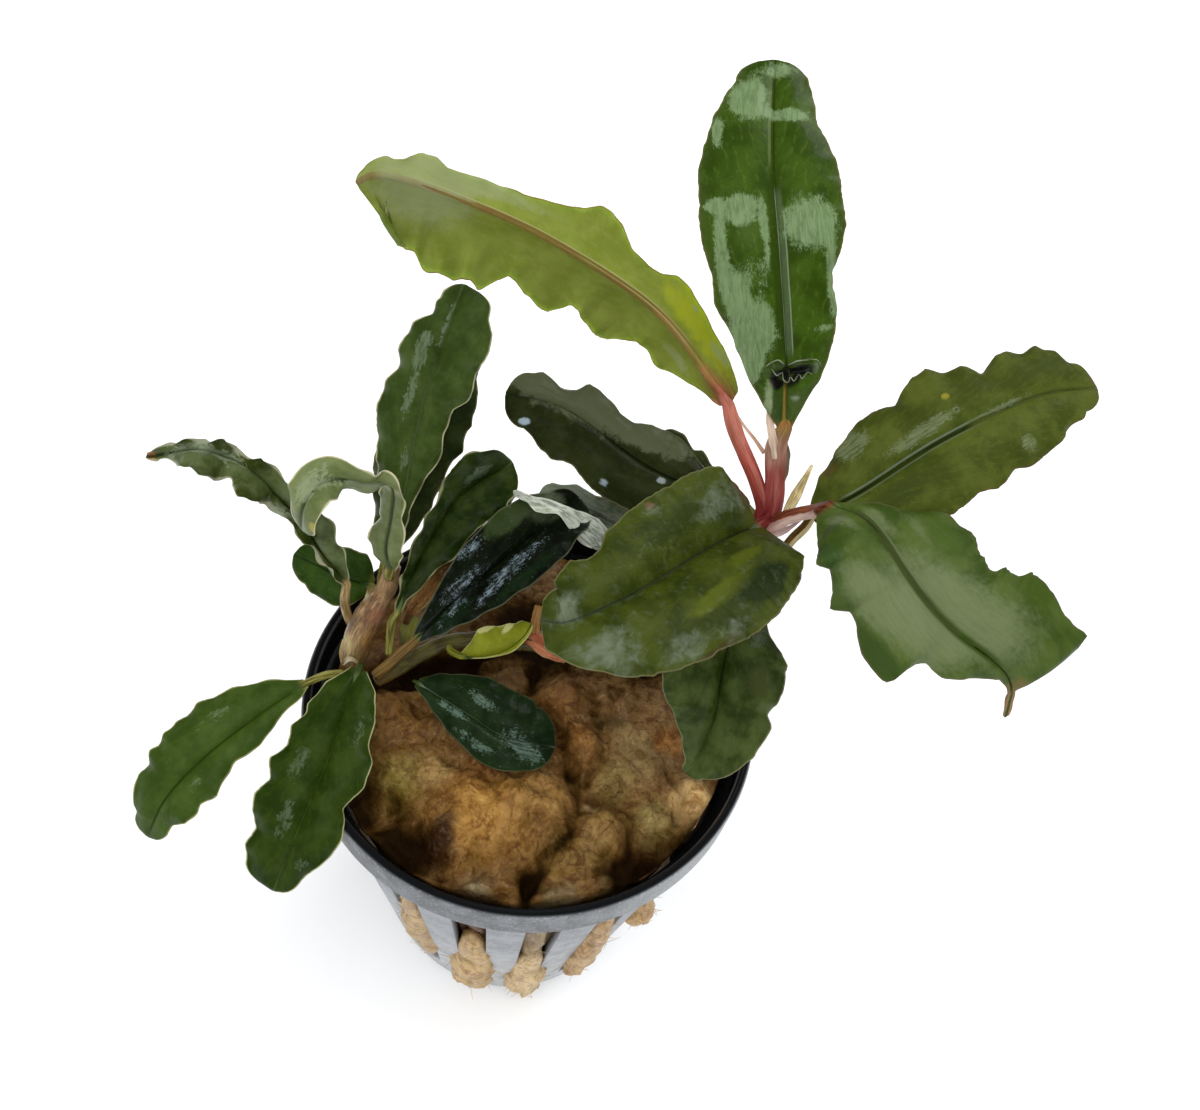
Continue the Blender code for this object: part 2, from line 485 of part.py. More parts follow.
               (15.8, 2.0), (17, 1.9), (18, 2.4), (19, 2.2), (19.7, 1.4), (21.2, 1.9), (23, 1.2),
               (24.7, 1.1), (26.3, 0.3)]),
    "leaf_curled": dict(
        colour="grey_green", stalk=[(-17.1, 3.3, 62.2)],
        stalk_radii=(0.55, 0.5),
        rib=[(-16.9, 3.3, 63.6), (-17.1, 3.6, 67.2), (-16.6, 4.3, 71.6), (-16.4, 4.1, 76.2),
             (-18.4, 1.9, 78.5), (-20.2, 0.5, 79.9), (-21.8, -0.8, 80.0), (-22.7, -2.4, 78.8),
             (-23.1, -3.0, 75.9)],
        face=((-0.3, -0.75, 0.6), (-0.5, -0.6, 0.3)),
        left=[(0, 0.6), (1.5, 1.8), (3.6, 2.3), (5, 2.2), (6.5, 1.5), (8, 1.8), (10, 1.9), (12.8, 1.5),
              (14, 1.9), (16, 1.6), (18, 2.0), (19, 1.6), (21, 2.0), (23, 2.3), (25, 2.2), (26.8, 1.2),
              (27.7, 0.4)],
        right=[(0, 0.6), (1.5, 1.4), (3.6, 2.1), (6, 2.0), (8, 1.4), (10, 1.3), (12.8, 1.4), (16, 1.7),
               (18.7, 1.8), (21, 2.6), (23, 2.9), (24.5, 2.2), (26, 1.4), (27.7, 0.4)]),
    "leaf_small_round": dict(
        colour="green", stalk=[(-19.6, 3.7, 55.4)],
        stalk_radii=(0.4, 0.4),
        rib=[(-19.6, 5.5, 56.9), (-23.0, 5.7, 57.1), (-26.3, 6.4, 57.7), (-28.9, 6.9, 58.1)],
        face=((-0.3, -0.5, 0.8), (-0.3, -0.5, 0.8)),
        left=[(0, 0.5), (0.8, 1.4), (1.8, 2.7), (3.2, 3.2), (5.8, 3.0), (8, 1.9), (9, 0.9), (9.5, 0.3)],
        right=[(0, 0.5), (0.7, 2.4), (1.3, 3.3), (4.5, 3.4), (6.5, 2.6), (8.2, 1.5), (9.2, 0.6),
               (9.5, 0.3)]),
    "leaf_lower_left": dict(
        colour="green", stalk=[(-20.6, -3.7, 52.9), (-22.2, -4.6, 53.3)],
        stalk_radii=(0.45, 0.42),
        rib=[(-24.0, -5.8, 53.0), (-28.5, -10.8, 51.6), (-32.3, -15.3, 49.9), (-35.1, -19.2, 47.4),
             (-36.5, -22.0, 43.8)],
        face=((-0.1, -0.4, 0.9), (-0.1, -0.4, 0.9)),
        left=[(0, 0.5), (1, 1.0), (4.6, 1.6), (5.8, 2.2), (7.5, 2.9), (10.4, 2.5), (12.2, 3.1),
              (14.1, 4.1), (16.2, 3.3), (17, 3.7), (18.7, 3.5), (20.5, 2.0), (21.8, 1.9), (23, 0.6)],
        right=[(0, 0.5), (3, 2.7), (6.2, 4.1), (9.5, 5.1), (12.2, 4.9), (14.1, 5.1), (15.1, 4.5),
               (16, 4.8), (17, 4.0), (18.2, 4.1), (21, 2.8), (22.6, 1.2), (23, 0.6)]),
    "leaf_over_rim": dict(
        colour="green", stalk=[(-18.6, -3.3, 54.6)],
        stalk_radii=(0.4, 0.4),
        rib=[(-18.6, -4.1, 55.0), (-19.0, -8.3, 53.9), (-19.2, -13.9, 52.3), (-20.2, -19.8, 50.1),
             (-21.8, -25.6, 45.2)],
        face=((0.0, -0.45, 0.9), (0.0, -0.45, 0.9)),
        left=[(0, 0.9), (2, 2.7), (5.3, 3.7), (7.8, 3.6), (9.3, 4.5), (11.6, 4.6), (14.1, 3.3), (15, 4.0),
              (16.8, 4.6), (19.3, 3.9), (21.6, 2.5), (23.6, 1.7), (24.7, 0.6)],
        right=[(0, 0.9), (2.4, 2.7), (4.9, 3.8), (5.8, 3.7), (7.4, 4.8), (9.7, 4.5), (11.8, 5.6),
               (13.9, 4.9), (15.8, 5.5), (17.6, 5.2), (19.1, 4.1), (21, 4.5), (23, 3.3), (24.2, 1.4),
               (24.7, 0.6)]),
    "leaf_on_wool": dict(
        colour="bottle_green", stalk=[(-13.6, -2.9, 53.2)],
        stalk_radii=(0.38, 0.38),
        rib=[(-12.5, -3.3, 53.2), (-6.0, -5.7, 52.4), (-2.0, -7.1, 51.8), (3.5, -6.9, 51.2)],
        face=((0.0, -0.3, 0.95), (0.0, -0.3, 0.95)),
        left=[(0, 0.5), (1.5, 2.2), (3.4, 3.2), (5.6, 4.4), (8.6, 4.9), (11, 5.1), (13.6, 4.7),
              (14.6, 3.6), (16.4, 2.0), (17, 0.6)],
        right=[(0, 0.5), (2.4, 1.4), (5.9, 2.8), (9.8, 3.5), (11.7, 3.7), (14.1, 3.1), (16.2, 1.5),
               (17, 0.6)]),
    "leaf_young": dict(
        colour="yellow_green", stalk=[(-9.8, -1.6, 55.6)],
        stalk_radii=(0.38, 0.36),
        rib=[(-8.2, -0.9, 56.2), (-5.6, -0.7, 56.9), (-3.2, -0.2, 58.2), (-1.6, 0.6, 60.2)],
        face=((-0.1, -0.85, 0.45), (-0.3, -0.8, 0.5)),
        fold=((5, 20), (10, 20)),
        left=[(0, 0.4), (1.2, 1.7), (2, 2.8), (2.9, 3.9), (4.2, 4.1), (6.4, 2.8), (7.6, 1.2), (8.3, 0.4)],
        right=[(0, 0.3), (3.2, 0.3), (6.1, 0.6), (8.3, 0.3)]),
    "bract": dict(
        colour="bract_brown", stalk=[(-14.2, 2.9, 58.2)],
        stalk_radii=(0.35, 0.35),
        rib=[(-13.6, 3.6, 59.8), (-12.0, 5.0, 62.4), (-10.6, 6.0, 64.6)],
        face=((0.1, -0.7, 0.7), (0.1, -0.7, 0.7)),
        fold=((20, 20), (20, 20)),
        left=[(0, 0.4), (1.5, 0.9), (3.5, 0.8), (5.6, 0.25)],
        right=[(0, 0.4), (1.5, 0.9), (3.5, 0.8), (5.6, 0.25)]),
    "stem_scale": dict(
        colour="bract_brown", stalk=[(-2.0, 1.5, 57.9)],
        stalk_radii=(0.3, 0.3),
        rib=[(-1.2, 1.3, 57.7), (0.8, 1.2, 57.4), (2.8, 1.9, 57.7)],
        face=((0.1, -0.75, 0.65), (0.1, -0.75, 0.65)),
        fold=((-15, -15), (-15, -15)),
        left=[(0, 0.4), (1, 1.2), (2.6, 1.1), (4.2, 0.3)],
        right=[(0, 0.4), (1, 1.3), (2.6, 1.2), (4.2, 0.3)]),
}

COLOURS = {
    "dark": (0.035, 0.075, 0.018), "yellow_green": (0.17, 0.22, 0.035), "olive": (0.06, 0.085, 0.016),
    "grey_green": (0.08, 0.12, 0.06), "dark_olive": (0.025, 0.03, 0.012), "green": (0.04, 0.085, 0.022),
    "black_green": (0.01, 0.02, 0.01), "bottle_green": (0.012, 0.045, 0.022),
    "bract_brown": (0.2, 0.1, 0.04)}


def plant():
    """Stems, leaves and the dried spike."""
    finishes = {name: material("leaf_" + name, colour, 0.3) for name, colour in COLOURS.items()}
    stem("rhizome", *RHIZOME, material("stem_olive", (0.23, 0.19, 0.05), 0.45))
    stem("left_stem", *LEFT_STEM, material("papery_sheath", (0.42, 0.22, 0.13), 0.6), step=2.6)
    stem("dried_spike", *DRIED_SPIKE, material("dry_straw", (0.62, 0.5, 0.27), 0.7), step=1.6, sides=6)
    for name, data in LEAVES.items():
        shape = dict(data)
        finish = finishes[shape.pop("colour")]
        leaf(name, finish, **shape)


def main():
    for old in list(bpy.data.objects):
        bpy.data.objects.remove(old, do_unlink=True)
    pot()
    wool()
    plant()


main()
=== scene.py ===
"""Looks of a bucephalandra in its net pot: leaves, stems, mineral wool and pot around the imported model.

Lengths are in millimetres and become metres when a mesh is made. -Y is the front, z starts under the pot.
"""
import itertools
import math

import bpy
import numpy as np
from mathutils import Matrix, Vector


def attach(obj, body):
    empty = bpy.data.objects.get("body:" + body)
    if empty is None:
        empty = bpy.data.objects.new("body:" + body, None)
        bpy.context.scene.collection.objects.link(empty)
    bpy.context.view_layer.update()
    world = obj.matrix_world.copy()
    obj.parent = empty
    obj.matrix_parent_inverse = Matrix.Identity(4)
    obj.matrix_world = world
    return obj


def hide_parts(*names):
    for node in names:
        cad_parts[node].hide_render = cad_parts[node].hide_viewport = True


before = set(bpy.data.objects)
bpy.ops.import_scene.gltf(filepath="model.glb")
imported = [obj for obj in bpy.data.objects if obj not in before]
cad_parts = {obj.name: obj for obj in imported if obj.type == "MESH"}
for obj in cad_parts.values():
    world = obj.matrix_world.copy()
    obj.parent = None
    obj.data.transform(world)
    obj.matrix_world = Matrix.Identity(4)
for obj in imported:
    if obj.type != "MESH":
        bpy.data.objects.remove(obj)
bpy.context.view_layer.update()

MM = 0.001
UP = np.array([0.0, 0.0, 1.0])
CURVE_SAMPLES = 40

# Net pot, as in the part
POT_HEIGHT = 50.0
RIM_RADIUS = 25.5
WALL_RADIUS_TOP = 24.3
BASE_RADIUS = 17.3
WALL = 1.1
COLLAR_HEIGHT = 5.2
SLOT_COUNT = 18
SLOT_WIDTH_DEG = 9.6
SLOT_FIRST_DEG = -5.0
SLOT_BOTTOM = 7.0
SLOT_TOP = 40.0
SLOT_FACES = 4
BASE_PLATE = 1.4
BASE_HOLES = 9
BASE_HOLE_DEG = 24.0
BASE_HOLE_INNER = 6.5
BASE_HOLE_OUTER = 12.5
EDGE_ROUNDING = 0.16

# Mineral wool
WOOL_EDGE = 46.0
WOOL_MIDDLE = 48.8
WOOL_GAP = 0.3
WOOL_TOP_LEVEL = 44.0
WOOL_COLUMNS = 460
WOOL_TOP_ROWS = 80
WOOL_SIDE_ROWS = 40
LOOSE_FIBRES = 1300
FIBRES_PER_TUFT = 34
FIBRE_POINTS = 5
FIBRE_SIDES = 3
FUZZ_BRIGHTNESS = 1.15
# Lumps and hollows of the wool's top: place, reach along and across, direction in degrees, rise
WOOL_LUMPS = [
    ((-19, -2), 4.5, 4.5, 0, 3.4), ((-2.2, -14.6), 6.4, 4.4, 20, 2.6), ((3.4, -12.6), 3.4, 3.2, 0, 0.9),
    ((-8.4, -10.6), 1.9, 1.5, 0, 1), ((-13, -11), 3, 2.6, 0, 0.5), ((3.2, 0.8), 2, 3.2, 10, 1.5),
    ((6.4, -4.2), 2.2, 2, 0, 1.5), ((12.5, 0.5), 4.2, 4, 0, 1), ((10.4, -7.2), 2.6, 2, 0, 0.6),
    ((10.3, -13.8), 2.8, 2.2, 20, 1.5), ((7.8, -17.6), 3.6, 1.8, -10, 0.8),
    ((15.6, -11.4), 2.2, 2.4, 0, 1.3), ((19.6, -8), 2.2, 2.6, 0, 2.2), ((-1.2, -22.2), 2.8, 1.1, 0, 1.8),
    ((7, -21.4), 2.8, 1.1, 15, 1.6), ((11.8, -18.8), 2, 1.2, 30, 1),
    ((-8.4, -19.6), 2.4, 1.8, -30, -1.6), ((-14.6, -16.4), 2.6, 3.2, -40, -2.2),
    ((16.6, -16.6), 2.2, 3.6, 45, -2.4), ((-14.8, -6), 2.4, 2, 0, 0.6),
    ((-11.6, -3.4), 2, 1.6, 0, -0.8)]
# Creases: line on the wool's top, half width, depth, darkness of the shade painted in it
WOOL_CREASES = [
    ([(-18, -1.6), (-14.4, 1), (-10.4, 3.2), (-7.6, 4.6)], 1.7, 3.6, 1.3),
    ([(-0.6, 3.6), (-0.4, 0.4), (1.6, -2.2), (4.1, -3.9), (5.4, -7.4), (7.2, -11.8), (5.2, -16.4),
      (3.4, -21)], 0.75, 1.2, 0.62),
    ([(6.2, 1.5), (8.2, -1.6), (8.9, -5), (7.6, -8.6)], 0.8, 0.7, 0.3),
    ([(8, -10.2), (11.6, -10.4), (13, -13.4), (13.2, -17.4)], 0.7, 0.9, 0.5),
    ([(-12.2, -13.4), (-10.8, -16.8), (-8.4, -19.4), (-5.8, -20.8)], 1.2, 0.9, 0.45),
    ([(-7.4, -8.8), (-4.6, -10.2), (-0.6, -9.8)], 0.9, 0.6, 0.25),
    ([(3.3, -20), (3.9, -22.6)], 1, 2, 1.2),
    ([(16.4, -4.6), (17.8, -7), (17.4, -10.6)], 0.6, 0.8, 0.4)]

# Leaves
LEAF_STEP = 0.26
LEAF_THICKNESS = 0.36
# Columns of points over half a blade, as shares of its width
COLUMNS = np.array((0.0, 0.025, 0.06, 0.11, 0.18, 0.26, 0.34, 0.42, 0.5, 0.58, 0.66, 0.74, 0.81, 0.87, 0.92,
                    0.96, 0.985, 1.0))
SIGNED_COLUMNS = np.concatenate([-COLUMNS[:0:-1], COLUMNS])
LEAST_HALF_WIDTH = 0.3
LOBE_REACH = 3.0
LOBE_LIMIT = 0.8
FOLD_ROUND = 0.3
GROOVE_DEPTH = 0.16
GROOVE_HALF_WIDTH = 0.3
RIB_REACH = 0.93
RIB_LINE_FADE = 1.5
STALK_STEP = 0.3
STALK_SIDES = 18
FAR_FROM_EDGE = 9.0
TOWARDS_VIEW = (0.0, -0.627, 0.779)

# Stems: centre line, radii
RHIZOME = ([(-17.2, -2.9, 51.2), (-14.8, -1.4, 52.5), (-12.4, 0.2, 54), (-9.7, 1.5, 55.1),
            (-4.5, 2.8, 55.4), (1, 3.4, 56.2), (8, 6.5, 60), (15, 9.8, 66), (19.6, 11.4, 71.6)],
           (0.75, 0.85, 0.9, 1.1, 1.35, 1.5, 1.6, 1.6, 1.5))
LEFT_STEM = ([(-20.3, -1.4, 51.4), (-20.1, -0.5, 52.8), (-19.9, 0.3, 54.1), (-19.5, 1.1, 55.5),
              (-18.8, 1.9, 57.2), (-18.1, 2.7, 58.6), (-17.4, 3.5, 60), (-17.1, 4.3, 61.5),
              (-16.8, 4.9, 62.4)],
             (1.3, 1.5, 1.6, 1.7, 1.6, 1.38, 1.15, 1, 0.7))
STEM_FACE = (0.3, -0.9, 0.3)
# Dry edges and scales: centre line, half widths
STEM_SCALES = [
    ([(-21.3, -0.7, 54.8), (-21.3, -1.8, 53.6), (-20.9, -2.5, 52.6)], (0.12, 0.2, 0.25)),
    ([(-20.9, -2.6, 52.9), (-20.2, -2.4, 53.9), (-19.2, -2.4, 53.4)], (0.2, 0.28, 0.2)),
    ([(-19.5, 2.0, 57.9), (-19.4, 2.5, 59.0), (-19.3, 3.0, 60.2)], (0.35, 0.18, 0.04))]
NOTCHED_SCALE = ([(-14.9, 0.6, 53.8), (-14.7, 1.5, 55.3), (-14.5, 2.6, 56.9)], (0.5, 1.0, 0.9))
DRIED_SPIKE = ([(22.6, 13.2, 71.2), (23.3, 14.6, 73.4), (24.4, 17.0, 76.6)], (0.35, 0.5, 0.1))
SPIKE_SPLITS = ((-0.3, -0.05, 0.15), (0.3, 0.1, -0.3))

# Each leaf: finish slot, stalk line and radii, line of the rib, where the upper side faces at foot and tip,
# fold of the left and the right half in degrees at foot and tip, half widths as (distance along, width)
LEAVES = {
    "leaf_upright": dict(
        slot="leaf_dark",
        stalk=[(20.2, 11.2, 72.2), (20.8, 11.6, 73.8), (20.8, 12.2, 75.4), (20.5, 12.8, 77.2),
            (20, 13.5, 79.2), (19.6, 14, 81.4)],
        stalk_radii=(1, 1.12, 1.08, 1.02, 1.1, 1.08, 0.8), rib_radius=0.5,
        rib=[(19.9, 14.4, 83.4), (18.4, 17.1, 89.4), (15.6, 22.1, 97.3), (13.4, 28.6, 102.6),
            (12, 37.7, 107.3)],
        face=((0.05, -0.8, 0.6), (0, -0.6, 0.8)),
        left=[(0, 0.7), (2.5, 2.2), (5, 3.5), (8.5, 4.7), (10, 5), (12.5, 6.3), (15, 6.3), (17.5, 6.9),
            (20, 7.2), (22, 6.9), (24, 6.9), (26.5, 6.3), (29, 5.6), (32, 4.2), (34, 2.9), (35.3, 1)],
        right=[(0, 0.7), (2.5, 1.9), (4.5, 3.1), (7, 4.2), (9, 4.7), (11, 5.1), (13, 4.8), (14.5, 4.9),
            (16.5, 5.7), (18.5, 6.4), (21, 6.2), (23, 6.2), (25, 5.9), (27, 5.2), (29, 4.1), (31, 3.9),
            (32.5, 3.5), (34.5, 2.5), (35.4, 1)]),
    "leaf_yellow_green": dict(
        slot="leaf_yellow_green",
        stalk=[(20.2, 11.3, 72.8), (20, 11.9, 74.4), (18.9, 12.8, 76.4), (18.1, 13.5, 77.5),
            (17, 14.4, 78.8), (15.8, 15.4, 80.2), (14.9, 16.2, 81.6)],
        stalk_radii=(0.85, 0.82, 0.8, 0.82, 0.86, 0.86, 0.84, 0.7), rib_radius=0.42,
        rib=[(14.2, 16.9, 82.9), (12.4, 17.6, 84.7), (5.2, 19.9, 90.4), (-5.4, 20.1, 95.7),
            (-14.4, 20.2, 98.3), (-19.8, 20.6, 98.9), (-22, 20.6, 98.6), (-23.4, 20.2, 97.8)],
        face=((0.3, 0.9, -0.1), (0.2, 0.9, -0.2)), fold=((45, 10), (45, 10)),
        left=[(0, 0.6), (0.5, 1.6), (3.2, 2.6), (6.7, 3), (9.5, 3.6), (10.7, 4), (12.2, 4), (13.3, 3.2),
            (14.7, 2.9), (16.7, 3.3), (18.5, 4.6), (20, 5.3), (21.2, 5.3), (22.3, 4.3), (24.7, 3.3),
            (27.7, 2.8), (32.7, 2.5), (34.7, 2.2), (35.9, 3), (37.4, 3.1), (38.4, 1.7), (39.3, 1.6),
            (40.1, 2.1), (41.1, 1.5), (41.9, 0.7), (42.7, 0.4)],
        right=[(0, 1.1), (0.5, 1.7), (1.8, 2), (3.2, 2.4), (4.3, 3.2), (5.3, 4.4), (6.1, 5.6), (7.7, 5.1),
            (10.4, 4.4), (11.3, 5.7), (12.1, 8), (13.1, 8.6), (14.1, 7.6), (15.8, 7.7), (17.3, 5.8),
            (18.5, 5.8), (19.4, 8.8), (20.7, 8.8), (23, 7.6), (24.8, 6.3), (25.9, 6.1), (27.1, 8.8),
            (28.2, 9.8), (29.5, 8.6), (30.4, 8.5), (31.2, 10), (32.9, 9), (34.3, 9.7), (35.3, 9.4),
            (36.5, 7.4), (37.9, 7.6), (39, 5.8), (40.1, 5.9), (41.5, 7.2), (42.7, 7)]),
    "leaf_right": dict(
        slot="leaf_olive",
        stalk=[(20.4, 10.6, 70.4), (22.6, 9.5, 70.9), (23.8, 10.5, 72.3), (24.6, 11.1, 73.5)],
        stalk_radii=(0.5, 0.5, 0.55, 0.55, 0.5),
        rib=[(25, 11.6, 74.8), (28.9, 13, 77.8), (35.7, 17.1, 83), (44.1, 22.1, 86.4), (50.7, 25, 86.8)],
        face=((0, -0.35, 0.94), (0, -0.35, 0.94)),
        left=[(0, 0.7), (0.7, 1.8), (2, 3.3), (5, 4.8), (9, 6.2), (11, 6.2), (13, 5.7), (14, 6.4),
            (15.5, 7.2), (17, 7.2), (18.5, 6.2), (20, 6), (22, 4.5), (23.5, 5.5), (25, 5.5), (26, 4.9),
            (27, 5.2), (29, 4.4), (30, 3.1), (31, 2.6), (32, 0.9)],
        right=[(0, 0.7), (2, 3), (5, 5), (8, 6.4), (11.5, 6.8), (13, 6.8), (15, 6.2), (16.5, 6.8),
            (18, 6.5), (19.5, 5.8), (21.2, 6.3), (23.5, 5.8), (25.5, 5.2), (28, 3.6), (29, 3.5),
            (30.5, 2.1), (32, 0.7)]),
    "leaf_drooping": dict(
        slot="leaf_grey_green",
        stalk=[(20, 10.2, 72.8), (21.2, 10, 74.2), (22.1, 10.1, 75.3), (23.4, 10.2, 76.3),
            (24.7, 10, 77.4)],
        stalk_radii=(1, 1, 0.95, 0.88, 0.85, 0.6), rib_radius=0.5,
        rib=[(25.5, 9.2, 79.5), (29, 6.4, 80.8), (33.7, 0.2, 79.7), (37.3, -2.6, 78.5), (40.6, -3.7, 77.3),
            (43.3, -4, 75.5), (44.7, -4.3, 73.5), (45.1, -4.7, 71.9), (45.4, -5.2, 70.2)],
        face=((0.1, -0.2, 1), (0.05, -0.6, 0.8)),
        left=[(0, 0.5), (1.4, 1), (2.8, 1.8), (4.2, 3), (4.9, 3.8), (5.9, 5.6), (6.6, 6.6), (7.3, 7.4),
            (8.8, 8), (9.8, 8.3), (11.2, 7.9), (14, 7.4), (15.7, 7.2), (16.7, 7.3), (17.1, 8.1),
            (18.9, 8.2), (20.5, 8.1), (21, 9.3), (22.8, 9.1), (23.8, 8.7), (24.8, 8.1), (25.4, 8.1),
            (25.9, 8.8), (26.2, 8.8), (26.5, 6.2), (26.75, 1.8), (27, 0.5), (29.4, 0.5), (30.3, 0.3)],
        right=[(0, 2), (0.7, 3.2), (1.4, 4.4), (2.1, 5.1), (3.1, 5.7), (4.9, 6.5), (6.6, 7.5), (7, 6.8),
            (7.3, 6.2), (8.4, 6.6), (9.8, 7.5), (10.8, 8.5), (11.2, 7.3), (11.5, 6.4), (12.6, 7), (14, 8.1),
            (15, 8.3), (16.1, 8.4), (16.4, 7.9), (16.8, 5), (17.5, 3.9), (18.9, 4.1), (20.3, 3.2),
            (21.7, 2.2), (23.1, 1.4), (24.5, 0.8), (26, 0.5), (30.3, 0.3)]),
    "leaf_front": dict(
        slot="leaf_olive", stalk=[(20.6, 10.9, 72.9), (20.3, 10.2, 74)], stalk_radii=(0.8, 0.75, 0.7),
        rib_radius=0.45,
        rib=[(19.6, 9.2, 74.6), (14.7, 3.1, 76.9), (8.5, -5.3, 79.1), (3.2, -10.5, 80.1),
            (0.6, -11.5, 80.6)],
        face=((-0.1, -0.1, 1), (-0.1, -0.3, 1)), fold=((15, 45), (0, 0)),
        left=[(0, 0.9), (0.7, 4), (2, 6.9), (5.4, 8.7), (8.3, 9.4), (11, 10), (14.2, 10), (16, 9.7),
            (18, 8.9), (19, 9), (21.3, 8.4), (22.5, 7.4), (23.2, 7.7), (24.4, 7), (25.6, 6.1), (26.9, 4.7),
            (27.6, 3.3), (28.2, 2.3), (28.9, 1.3), (29.2, 0.6)],
        right=[(0, 0.9), (1, 3.4), (2.2, 5.1), (3.2, 7), (4.9, 7.4), (6.6, 7.5), (8.8, 7.1), (10.3, 7.2),
            (12, 7.2), (14.7, 6.9), (16.6, 6.5), (18.3, 6.2), (19.8, 5.1), (21.8, 4.7), (23.5, 5.3),
            (24.9, 4.7), (28.3, 3), (29.2, 0.8)]),
    "leaf_lower_front": dict(
        slot="leaf_olive", stalk=[(19, 10.8, 70.4), (19.9, 9.2, 68.4), (20.4, 8.1, 67.2)],
        stalk_radii=(0.6, 0.6, 0.5),
        rib=[(20.4, 6.9, 65.8), (19.4, 2.1, 62), (19.5, -3, 57.8), (18.6, -6.6, 54.3), (17.6, -7.8, 52.7)],
        face=((0.1, -0.6, 0.8), (0.1, -0.6, 0.8)), fold=((25, 25), (25, 25)),
        left=[(0, 0.7), (2, 3.3), (3, 4), (4.4, 5.8), (5.7, 6.8), (7.4, 6.7), (9.2, 6.8), (10.4, 6.5),
            (11.9, 5.3), (12.6, 6.2), (13.8, 5.9), (15.8, 5.2), (17, 4.6), (18, 3.9), (18.8, 2.6),
            (19.8, 0.6)],
        right=[(0, 0.7), (2, 4), (4, 6.2), (6.5, 7.8), (8.6, 7.9), (10.7, 7.2), (12.6, 6.2), (14.3, 4.8),
            (16.1, 3.3), (18.1, 1.8), (19.8, 0.5)]),
    "leaf_dark_back": dict(
        slot="leaf_dark_olive", stalk=[(19.8, 11.8, 72.4), (18.4, 12.9, 72.9)], stalk_radii=(0.6, 0.5),
        rib=[(17.2, 13.4, 73.6), (13.5, 13.7, 73.3), (7.4, 15.2, 73.8), (-1.8, 18.1, 76.8),
            (-8.2, 18.1, 77.4)],
        face=((0, -0.5, 0.86), (0, -0.5, 0.86)),
        left=[(0, 0.6), (3, 3), (6.5, 4.8), (9.5, 5.1), (12.4, 5.3), (14, 5.2), (15.7, 4.5), (17.3, 4.7),
            (18.6, 5.4), (21.7, 4.8), (24.2, 3.4), (25.5, 1.8), (26.4, 0.6)],
        right=[(0, 0.6), (3, 1.8), (5.8, 3.4), (7.3, 4.2), (9.5, 4.5), (12, 4), (13.5, 3.2), (15.3, 3),
            (16.6, 3.4), (18.2, 3.7), (19.5, 3.5), (20, 2.5), (21.5, 2.1), (23.3, 3), (25.1, 2.5),
            (26.4, 0.8)]),
    "leaf_small_back": dict(
        slot="leaf_dark_olive", stalk=[(19.3, 12, 71), (18.6, 14.4, 70.6)], stalk_radii=(0.5, 0.4),
        rib=[(17.4, 14.9, 70.6), (13.9, 17.1, 72.4), (10.8, 18.7, 73.7), (8.5, 19.3, 74.8)],
        face=((0, -0.5, 0.86), (0, -0.5, 0.86)),
        left=[(0, 0.5), (2.5, 1.6), (5, 2), (8, 1.8), (10, 1.2), (11.2, 0.4)],
        right=[(0, 0.5), (2.5, 1), (5, 1.2), (6.4, 1.5), (7, 1), (8.8, 1.4), (10.3, 1.1), (11.2, 0.4)]),
    "leaf_pale_wavy": dict(
        slot="leaf_grey_green", stalk=[(12.6, 10.9, 62.2), (8.9, 10.9, 63.4)], stalk_radii=(0.5, 0.45, 0.4),
        rib=[(5, 10.4, 65.5), (4.2, 9.7, 67.2), (2.6, 8.9, 69.5), (0.5, 8.4, 71.9), (-0.9, 8.5, 72.5),
            (-2.1, 8.8, 72.4), (-3.2, 9, 72.2), (-4.3, 9.4, 72), (-5.3, 10, 71.5), (-5.9, 10, 70.3),
            (-6.1, 9.6, 69.2)],
        face=((0, -0.6, 0.8), (0, -0.6, 0.8)),
        left=[(0, 0.8), (1.4, 1.2), (4, 1.6), (6, 1.4), (7.5, 1), (9.2, 0.6), (10.5, 1.1), (11.6, 1.1),
            (12.6, 0.4), (15.8, 0.35)],
        right=[(0, 0.8), (1.4, 1.2), (4, 1.6), (6, 1.3), (7.5, 0.8), (9, 0.5), (12.4, 0.4), (15.8, 0.4)]),
    "leaf_hidden_middle": dict(
        slot="leaf_dark", stalk=[(13.4, 12, 63.8)], stalk_radii=(0.5, 0.4),
        rib=[(10.4, 13.4, 63.9), (4.9, 14, 65.4), (0.3, 14.2, 66.9), (-3.3, 14.2, 67)],
        face=((0, -0.6, 0.8), (0, -0.6, 0.8)),
        left=[(0, 0.5), (3, 2.2), (7, 2.4), (10, 2), (12.5, 1), (14.2, 0.4)],
        right=[(0, 0.5), (3, 2.4), (5.5, 2.6), (8.5, 1.8), (10.5, 2.2), (12, 1.6), (13, 1.7), (14.2, 0.5)]),
    "leaf_left_upright": dict(
        slot="leaf_green", stalk=[(-17.2, 5.4, 62.4)], stalk_radii=(0.55, 0.5),
        rib=[(-17, 6.4, 64.1), (-16.9, 9, 68.2), (-16, 15.3, 77.7), (-14.5, 20.1, 84.1), (-13.9, 23, 86.5)],
        face=((-0.1, -0.8, 0.6), (-0.1, -0.8, 0.6)),
        left=[(0, 0.6), (3, 1.8), (6, 3), (8.5, 3.6), (11, 4.1), (12.5, 4.5), (14.6, 4.6), (16.5, 4.4),
            (18, 3.6), (19.8, 4), (21.3, 3.8), (23, 3.4), (24.3, 2.1), (25.7, 2.1), (26.7, 1.4),
            (28.2, 0.6)],
        right=[(0, 0.6), (3.8, 1), (5.7, 1.3), (7.8, 1.9), (9.7, 2.8), (11.3, 3.2), (13, 2.9), (15, 3),
            (16, 3.3), (17.2, 4.4), (18.7, 4.7), (20.3, 4.2), (22.2, 4.8), (24.6, 4.5), (25.7, 3.6),
